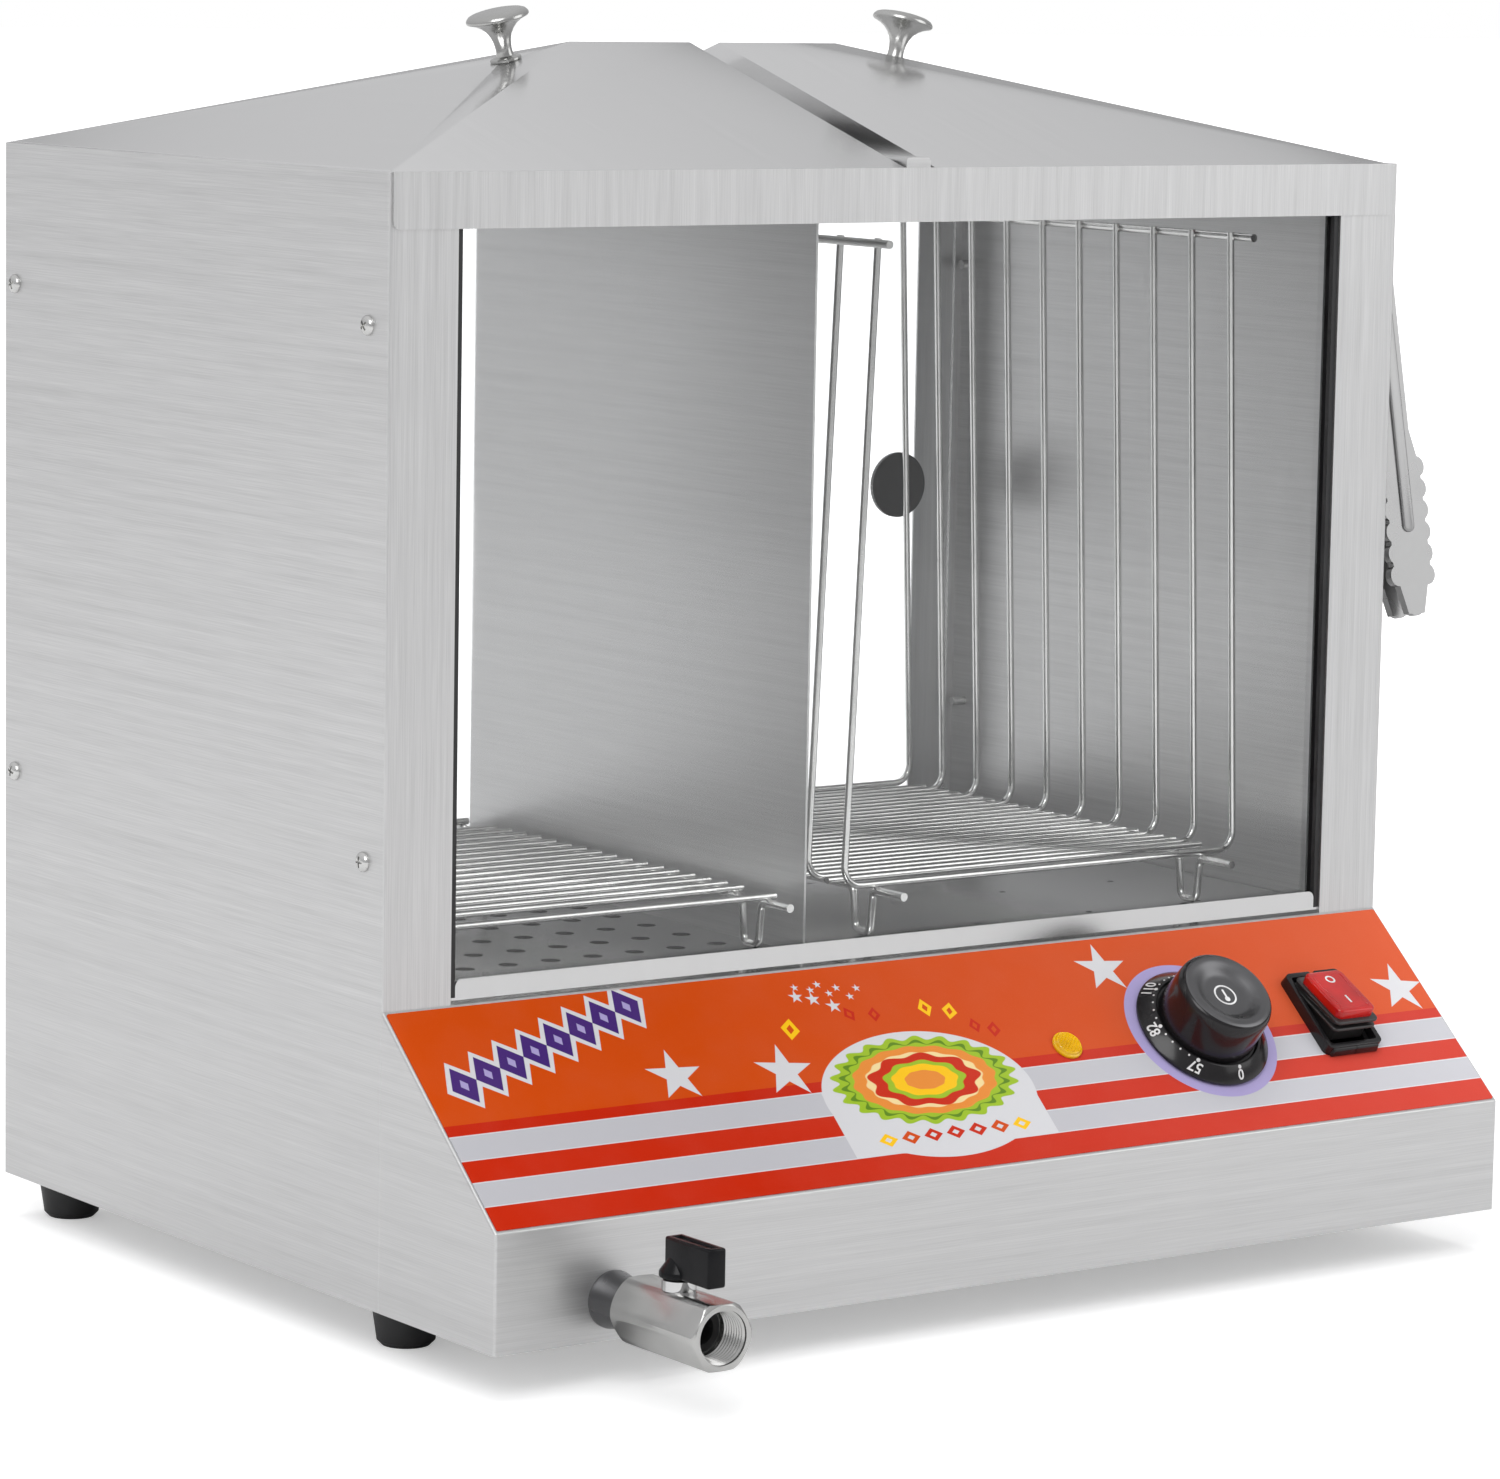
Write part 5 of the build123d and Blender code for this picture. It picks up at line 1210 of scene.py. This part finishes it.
class STEAMER_OT_thermostat(bpy.types.Operator):
    """Turn the thermostat knob and mark its dial"""

    bl_idname = "steamer.thermostat"
    bl_label = "Build Thermostat Knob"

    def execute(self, context):
        place = panel_frame(KNOB_ACROSS)
        knob = turn_piece("thermostat_knob_turned", KNOB_OUTLINE, 128)
        give_finish(knob, finish_named("black_plastic", context))
        knob.data.materials.append(finish_named("knob_cap", context))
        for face in knob.data.polygons:
            middle = face.center / MM
            on_cap = middle.z > CAP_HEIGHT and math.hypot(middle.x, middle.y) < CAP_RADIUS
            face.material_index = int(on_cap)
        settle(knob, place)
        smooth(knob, 38.0)
        finish_piece(context, knob, None, "thermostat_knob", "black_plastic", "thermostat_knob")

        height = context.scene.steamer_control.digit_height
        marks = [dial_number(body, angle, height) for body, angle in DIAL_NUMBERS]
        marks += [dial_dot(0.85, angle) for body, angle in DIAL_NUMBERS]
        marks += [dial_dot(0.45, angle) for angle in SMALL_DOTS]
        low, high = CAP_HEIGHT, CAP_HEIGHT + 0.24
        marks.append(flat_ring("cap_ring", 4.4, 5.2, low, high, 64))
        marks.append(soften(block("cap_stem", (-0.5, -1.4, low), (0.5, 2.9, high)), 0.08))
        bulb = [(0, low), (1.25, low), (1.25, high - 0.08), (1.15, high), (0, high + 0.02)]
        marks.append(settle(turn_piece("cap_bulb", bulb, 32), Matrix.Translation((0, -0.0021, 0))))
        dial = settle(join("thermostat_dial_marks", marks), place)
        smooth(dial)
        finish_piece(context, dial, "marks", "thermostat_knob", "ptfe")
        return {"FINISHED"}


LAMP_RIM = [
    (4.9, 0.3), (6.3, 0.3), (6.6, 0.6), (6.6, 1.35), (6.3, 1.75), (5.85, 1.9), (5.75, 2.3),
    (5.5, 2.75), (5.2, 2.95), (4.95, 2.9), (4.85, 2.6), (4.9, 0.3),
]  # fmt: skip


LAMP_FACETS = 72
LENS_RADIUS = 4.95
LENS_HEIGHT = 2.55
LENS_THICKNESS = 2.0
PRISM_HEIGHT = 0.75


class STEAMER_OT_pilot_lamp(bpy.types.Operator):
    """Build the pilot lamp with its stepped rim and prisms"""

    bl_idname = "steamer.pilot_lamp"
    bl_label = "Build Pilot Lamp"

    def execute(self, context):
        cells = context.scene.steamer_control.lens_cells
        rim = turn_piece("lamp_rim", LAMP_RIM, LAMP_FACETS)
        deselect_all()
        bpy.ops.mesh.primitive_grid_add(
            x_subdivisions=cells,
            y_subdivisions=cells,
            size=15 * MM,
            location=(0, 0, LENS_HEIGHT * MM),
        )
        lens = bpy.context.object
        lens.name = "lamp_lens"
        lens.rotation_euler = (0, 0, math.radians(45))
        bake_place()
        open_mesh()
        bpy.ops.mesh.poke(offset=PRISM_HEIGHT * MM)
        sink = {"value": (0, 0, -LENS_THICKNESS * MM)}
        bpy.ops.mesh.extrude_region_move(TRANSFORM_OT_translate=sink)
        shut_mesh()
        close_up(lens)
        bar = [(0, -1), (LENS_RADIUS, -1), (LENS_RADIUS, 4), (0, 4)]
        combine(lens, turn_piece("lens_bar", bar, LAMP_FACETS), "INTERSECT")
        lamp = settle(join("pilot_lamp_cut", [rim, lens]), panel_frame(LAMP_ACROSS))
        smooth(lamp, 25.0)
        finish_piece(context, lamp, "amber_plastic", "cabinet", "amber_plastic", "pilot_lamp_lens")
        return {"FINISHED"}


# The rocker: its tilt in degrees, its pivot over the panel, and its top before it is tilted.
ROCKER_TILT = -13.0
ROCKER_PIVOT = 3.0
ROCKER_TOP = 10.8


class STEAMER_OT_power_switch(bpy.types.Operator):
    """Build the switch: its frame, its ribbed boot and the red rocker with its marks"""

    bl_idname = "steamer.power_switch"
    bl_label = "Build Power Switch"

    def execute(self, context):
        place = panel_frame(SWITCH_ACROSS)
        housing = softened_copy("switch_housing", "switch_housing_rounded", 0.5)
        slot = SLOT_OF["switch_housing"]
        finish_piece(context, housing, "black_plastic", "cabinet", slot, "switch_housing")
        bulge = block("switch_bulge", (-13, -21.8, 0.4), (13, -17.6, 4.6))
        pick_top(bulge, 4.6)
        bpy.ops.transform.resize(value=(0.94, 0.72, 1), center_override=(0, -0.0197, 0.0046))
        shut_mesh()
        soften(bulge, 0.8, 3)
        combine(bulge, block("switch_seam", (-0.18, -23, 0), (0.18, -14, 8)), "DIFFERENCE")
        settle(close_up(bulge), place)
        smooth(bulge, 32.0)
        finish_piece(context, bulge, "black_plastic", "cabinet", slot)
        boot = softened_copy("switch_boot", "switch_boot_rounded", 0.6, 3)
        slot = SLOT_OF["switch_boot"]
        finish_piece(context, boot, "switch_rubber", "switch_rocker", slot, "switch_boot")
        tilted = (
            place
            @ Matrix.Translation((0, 0, ROCKER_PIVOT * MM))
            @ Matrix.Rotation(math.radians(ROCKER_TILT), 4, "X")
        )
        rocker = block("switch_rocker_rounded", (-10, -13.75, 6.8), (10, 13.75, ROCKER_TOP))
        round_edges(rocker, upright, 3.0, 6)
        round_edges(rocker, level_at(ROCKER_TOP), 1.1, 4)
        pick_top(rocker, ROCKER_TOP)
        step_in((1.3, 0), (0.25, -0.3), (0.25, 0.3))
        settle(close_up(rocker), tilted)
        smooth(rocker, 32.0)
        slot = SLOT_OF["switch_rocker"]
        finish_piece(context, rocker, "red_plastic", "switch_rocker", slot, "switch_rocker")

        low, high = ROCKER_TOP - 0.1, ROCKER_TOP + 0.16
        circle = flat_ring("switch_circle", 1.5, 2.3, low, high, 48)
        settle(circle, Matrix.Translation((0, 7.6 * MM, 0)))
        bar = soften(block("switch_bar", (-0.45, -8.2, low), (0.45, -3.4, high)), 0.07)
        marks = settle(join("switch_marks", [circle, bar]), tilted)
        finish_piece(context, smooth(marks), "marks", "switch_rocker", "ptfe")
        return {"FINISHED"}


HANDLE_HUB = [
    (0, 0), (7.3, 0), (7.6, 0.4), (7.6, 2), (7.3, 2.6), (5.4, 5.2), (3.4, 8.3), (1.6, 11),
    (0.9, 11.8), (0, 12),
]  # fmt: skip
# The drain's thread: radii, and the places of its two ends along the axis.
THREAD_OUTER, THREAD_ROOT, THREAD_CREST = 10.38, 10.3, 9.45
THREAD_START, THREAD_END = -14.0, -1.0
# One ridge: radii and shares of the pitch.
THREAD_RIDGE = (
    (THREAD_ROOT, 0.15), (THREAD_CREST, 0.5), (THREAD_CREST, 0.62), (THREAD_ROOT, 0.97),
)  # fmt: skip
HANDLE_TOP = 15


class STEAMER_OT_drain_valve(bpy.types.Operator):
    """Build the valve's edges, its thread and its black handle"""

    bl_idname = "steamer.drain_valve"
    bl_label = "Build Drain Valve"

    def execute(self, context):
        body = softened_copy("valve_body", "valve_body_machined", 0.25, 2, 28.0)
        finish_piece(context, body, "nickel", "cabinet", SLOT_OF["valve_body"], "valve_body")

        turns = context.scene.steamer_control.thread_turns
        pitch = (THREAD_END - THREAD_START) / turns
        outline = [(THREAD_OUTER, THREAD_END), (THREAD_OUTER, THREAD_START)]
        for number in range(turns):
            start = THREAD_START + pitch * number
            outline += [(radius, start + share * pitch) for radius, share in THREAD_RIDGE]
        outline.append(outline[0])
        thread = turn_piece("valve_thread", outline, 72)
        settle(thread, frame_at(VALVE_MOUTH, (0, -1, 0), (0, 0, 1)))
        smooth(thread, 20.0)
        finish_piece(context, thread, "nickel", "cabinet", "nickel")

        bar = block("handle_bar", (-4, -24.5, 0), (4, 4.2, HANDLE_TOP))
        soften(bar, 1.0, 3)
        pick_top(bar, HANDLE_TOP)
        step_in((0.9, 0), (0.3, -0.9))
        hub = turn_piece("handle_hub", HANDLE_HUB, 64)
        handle = join("valve_handle_moulded", [close_up(bar), hub])
        settle(handle, Matrix.Translation(HANDLE_FOOT))
        smooth(handle, 32.0)
        slot = SLOT_OF["valve_handle"]
        finish_piece(context, handle, "valve_black", "drain_handle", slot, "valve_handle")
        return {"FINISHED"}


SCREW_OUTLINE = [
    (0, -8), (2, -8), (2, 0), (3.9, 0), (4, 0.25), (3.85, 0.9), (3.3, 1.6), (2.4, 2.15),
    (1.2, 2.38), (0, 2.4),
]  # fmt: skip


class STEAMER_OT_screws(bpy.types.Operator):
    """Copy one cross-head screw to every place on the side panels"""

    bl_idname = "steamer.screws"
    bl_label = "Place Screws"

    def execute(self, context):
        model = turn_piece("screw_model", SCREW_OUTLINE, context.scene.steamer_control.screw_turns)
        for along, across in ((2.2, 0.45), (0.45, 2.2)):
            cut = block("screw_cut", (-along, -across, 1.2), (along, across, 3))
            combine(model, cut, "DIFFERENCE")
        screws = []
        for number, (x, y, z) in enumerate(SCREW_PLACES):
            way = -1 if x < 0 else 1
            turned = Matrix.Rotation(math.radians(37 * number), 4, "Z")
            screw = copy_piece(model, "screw")
            settle(screw, frame_at((x, y, z), (way, 0, 0), (0, 0, 1)) @ turned)
            screws.append(screw)
        bpy.data.objects.remove(model, do_unlink=True)
        piece = smooth(close_up(join("cross_head_screws", screws)))
        slot = SLOT_OF["side_screws"]
        finish_piece(context, piece, "fasteners", "cabinet", slot, "side_screws")
        return {"FINISHED"}


# The ribs: the body each rides on and the side it stands on. Their feet lie inside the arms.
TONGS_RIBS = (("front", "tongs", 1), ("rear", "tongs_rear_arm", -1))
RIB_FOOT, RIB_TOP = 6.4, 8.0
RIB_HALF_WIDTH = 3.1


class STEAMER_OT_tongs(bpy.types.Operator):
    """Press a rounded rib along each arm of the tongs"""

    bl_idname = "steamer.tongs"
    bl_label = "Dress Tongs"

    def execute(self, context):
        place = frame_at(
            TONGS_ORIGIN,
            (0, -math.cos(TONGS_LEAN), math.sin(TONGS_LEAN)),
            (0, math.sin(TONGS_LEAN), math.cos(TONGS_LEAN)),
        )
        for side, body, way in TONGS_RIBS:
            low, high = sorted((way * RIB_FOOT, way * RIB_TOP))
            rib = block("tongs_rib", (-RIB_HALF_WIDTH, -110, low), (RIB_HALF_WIDTH, -8, high))
            round_edges(rib, upright, 2.9, 6)
            round_edges(rib, level_at(way * RIB_TOP), 0.7, 3)
            settle(close_up(rib), place)
            smooth(rib, 40.0)
            rib.name = side + "_tongs_rib"
            finish_piece(context, rib, "tongs_steel", body, SLOT_OF["tongs_front_arm"])
        return {"FINISHED"}


# The direction behind the steamer and to its left, which its left wall mirrors.
BACK_LEFT = (-0.7, 0.7, 0.0)
# The floor's glow to the camera: where it starts and ends, in metres from the middle of the
# floor, and its strength there.
FLOOR_GLOW = (0.7, 2.6, 0.38, 1.0)
# The same towards the back and the left, for the floor's reflections in the metal.
MIRRORED_GLOW = (0.4, 2.6, 0.0, 0.32)
# The surroundings in reflections: colours below and above, and strength in front and behind.
WORLD_LOW, WORLD_HIGH = (0.55, 0.55, 0.56), (0.92, 0.92, 0.93)
WORLD_FRONT, WORLD_BACK = 0.58, 0.95
# Lamps: name, place, the point they shine at, width and power.
LAMPS = (
    ("key_lamp", (-1.8, -1.6, 2.2), (0, 0, 0.25), 1.6, 33),
    ("fill_lamp", (1.9, -1.8, 1.3), (0, 0, 0.25), 1.8, 14),
    ("top_lamp", (0.0, 0.3, 2.6), (0, 0, 0.3), 2.2, 26),
)
# A lamp nearer than this to the steamer's upright axis is overhead, in metres.
OVERHEAD = 1.0
CAMERA_PLACE = (-1.4072, -1.9255, 0.5361)
CAMERA_TURN = (82.2641, -1.0137, -35.3303)


class STEAMER_OT_stage(bpy.types.Operator):
    """Add the floor, the lamps, the world and the camera"""

    bl_idname = "steamer.stage"
    bl_label = "Add Stage"

    def execute(self, context):
        settings = context.scene.steamer_stage
        build_floor(settings)
        build_lamps()
        build_world(context)
        build_camera(context, settings)
        context.scene.view_settings.view_transform = "Standard"
        return {"FINISHED"}


def directly_seen(tree, path):
    """One for what the camera sees, also through glass, but not in a mirror."""
    unmirrored = reckon(tree, "LESS_THAN", path["Glossy Depth"], 0.5)
    through = reckon(tree, "MULTIPLY", path["Is Transmission Ray"], unmirrored)
    return reckon(tree, "MAXIMUM", path["Is Camera Ray"], through)


def build_floor(settings):
    """A pale floor that turns white towards the horizon."""
    deselect_all()
    bpy.ops.mesh.primitive_plane_add(size=settings.floor_size, location=(0, 0, 0))
    floor = bpy.context.object
    floor.name = "studio_floor"
    material, tree, shader, place = new_material("Studio Floor")
    shader.inputs["Roughness"].default_value = 0.8
    patches = speckle_of(tree, place, 300.0)["Patches"]
    colour = blend_colours(tree, patches, *shades(settings.floor_colour, 1, 1.02))
    tree.links.new(colour, shader.inputs["Base Color"])
    path = add_node(tree, "LightPath").outputs
    away = add_node(tree, "VectorMath", {0: place["Object"]}, operation="LENGTH")
    lift = stretch(tree, away.outputs["Value"], *FLOOR_GLOW)
    shown = reckon(tree, "MULTIPLY", directly_seen(tree, path), lift)
    far = stretch(tree, towards(tree, place["Object"], BACK_LEFT), *MIRRORED_GLOW)
    mirrored = reckon(tree, "MULTIPLY", path["Is Glossy Ray"], far)
    strength = reckon(tree, "MAXIMUM", shown, mirrored)
    glow = add_node(tree, "Emission", {"Color": (1, 1, 1, 1), "Strength": strength})
    both = add_node(tree, "AddShader", {0: shader.outputs[0], 1: glow.outputs[0]})
    tree.links.new(both.outputs[0], surface_of(tree))
    give_finish(floor, material)


def build_lamps():
    """Soft square lamps above and in front of the steamer."""
    for name, place, aim, size, power in LAMPS:
        deselect_all()
        bpy.ops.object.light_add(type="AREA", location=place)
        lamp = bpy.context.object
        lamp.name = name
        lamp.data.shape = "SQUARE"
        lamp.data.size = size
        lamp.data.energy = power
        # a lamp overhead would leave hard white patches on the roof
        lamp.visible_glossy = Vector(place).xy.length > OVERHEAD
        lamp.rotation_euler = (Vector(aim) - Vector(place)).to_track_quat("-Z", "Y").to_euler()


def build_world(context):
    """White surroundings to the camera, and a soft grey gradient to everything else."""
    world = bpy.data.worlds.new("Studio")
    context.scene.world = world
    world.use_nodes = True
    tree = world.node_tree
    tree.nodes.clear()
    place = add_node(tree, "TexCoord").outputs["Generated"]
    height = add_node(tree, "SeparateXYZ", {"Vector": place}).outputs["Z"]
    shade = blend_colours(tree, stretch(tree, height, -0.2, 0.9), WORLD_LOW, WORLD_HIGH)
    # brighter behind and to the left, darker in front and to the right
    sideways = towards(tree, place, BACK_LEFT)
    strength = stretch(tree, sideways, -1.0, 1.0, WORLD_FRONT, WORLD_BACK)
    soft = add_node(tree, "Background", {"Color": shade, "Strength": strength})
    white = add_node(tree, "Background", {"Color": (1, 1, 1, 1), "Strength": 1.0})
    seen = directly_seen(tree, add_node(tree, "LightPath").outputs)
    mix = add_node(tree, "MixShader", {0: seen, 1: soft.outputs[0], 2: white.outputs[0]})
    output = add_node(tree, "OutputWorld")
    tree.links.new(mix.outputs[0], output.inputs["Surface"])


def build_camera(context, settings):
    """The camera, a little above the top of the roof and to the left of the front."""
    deselect_all()
    turn = tuple(math.radians(angle) for angle in CAMERA_TURN)
    bpy.ops.object.camera_add(location=CAMERA_PLACE, rotation=turn)
    camera = bpy.context.object
    camera.name = "camera"
    camera.data.lens = settings.lens
    camera.data.sensor_width = 36
    context.scene.camera = camera


class STEAMER_PT_panel(bpy.types.Panel):
    """Lists the steps that dress the steamer"""

    bl_label = "Hot Dog Steamer"
    bl_idname = "STEAMER_PT_panel"
    bl_space_type = "VIEW_3D"
    bl_region_type = "UI"
    bl_category = "Steamer"

    def draw(self, context):
        for step in STEPS:
            self.layout.operator(step.bl_idname)
        for attribute, settings in SETTINGS:
            group = getattr(context.scene, attribute)
            box = self.layout.box()
            for name in group.__annotations__:
                box.prop(group, name)


STEPS = (
    STEAMER_OT_finishes,
    STEAMER_OT_lids,
    STEAMER_OT_lid_knobs,
    STEAMER_OT_thermostat,
    STEAMER_OT_pilot_lamp,
    STEAMER_OT_power_switch,
    STEAMER_OT_drain_valve,
    STEAMER_OT_screws,
    STEAMER_OT_tongs,
    STEAMER_OT_stage,
)
SETTINGS = (
    ("steamer_metal", SteamerMetalSettings),
    ("steamer_print", SteamerPrintSettings),
    ("steamer_control", SteamerControlSettings),
    ("steamer_stage", SteamerStageSettings),
)


def register():
    for attribute, group in SETTINGS:
        bpy.utils.register_class(group)
        setattr(bpy.types.Scene, attribute, bpy.props.PointerProperty(type=group))
    for step in STEPS:
        bpy.utils.register_class(step)
    bpy.utils.register_class(STEAMER_PT_panel)


def unregister():
    bpy.utils.unregister_class(STEAMER_PT_panel)
    for step in reversed(STEPS):
        bpy.utils.unregister_class(step)
    for attribute, group in reversed(SETTINGS):
        delattr(bpy.types.Scene, attribute)
        bpy.utils.unregister_class(group)


def main():
    """Runs every step in order."""
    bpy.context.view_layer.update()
    register()
    for step in STEPS:
        group, name = step.bl_idname.split(".")
        getattr(getattr(bpy.ops, group), name)()


if __name__ == "__main__":
    main()
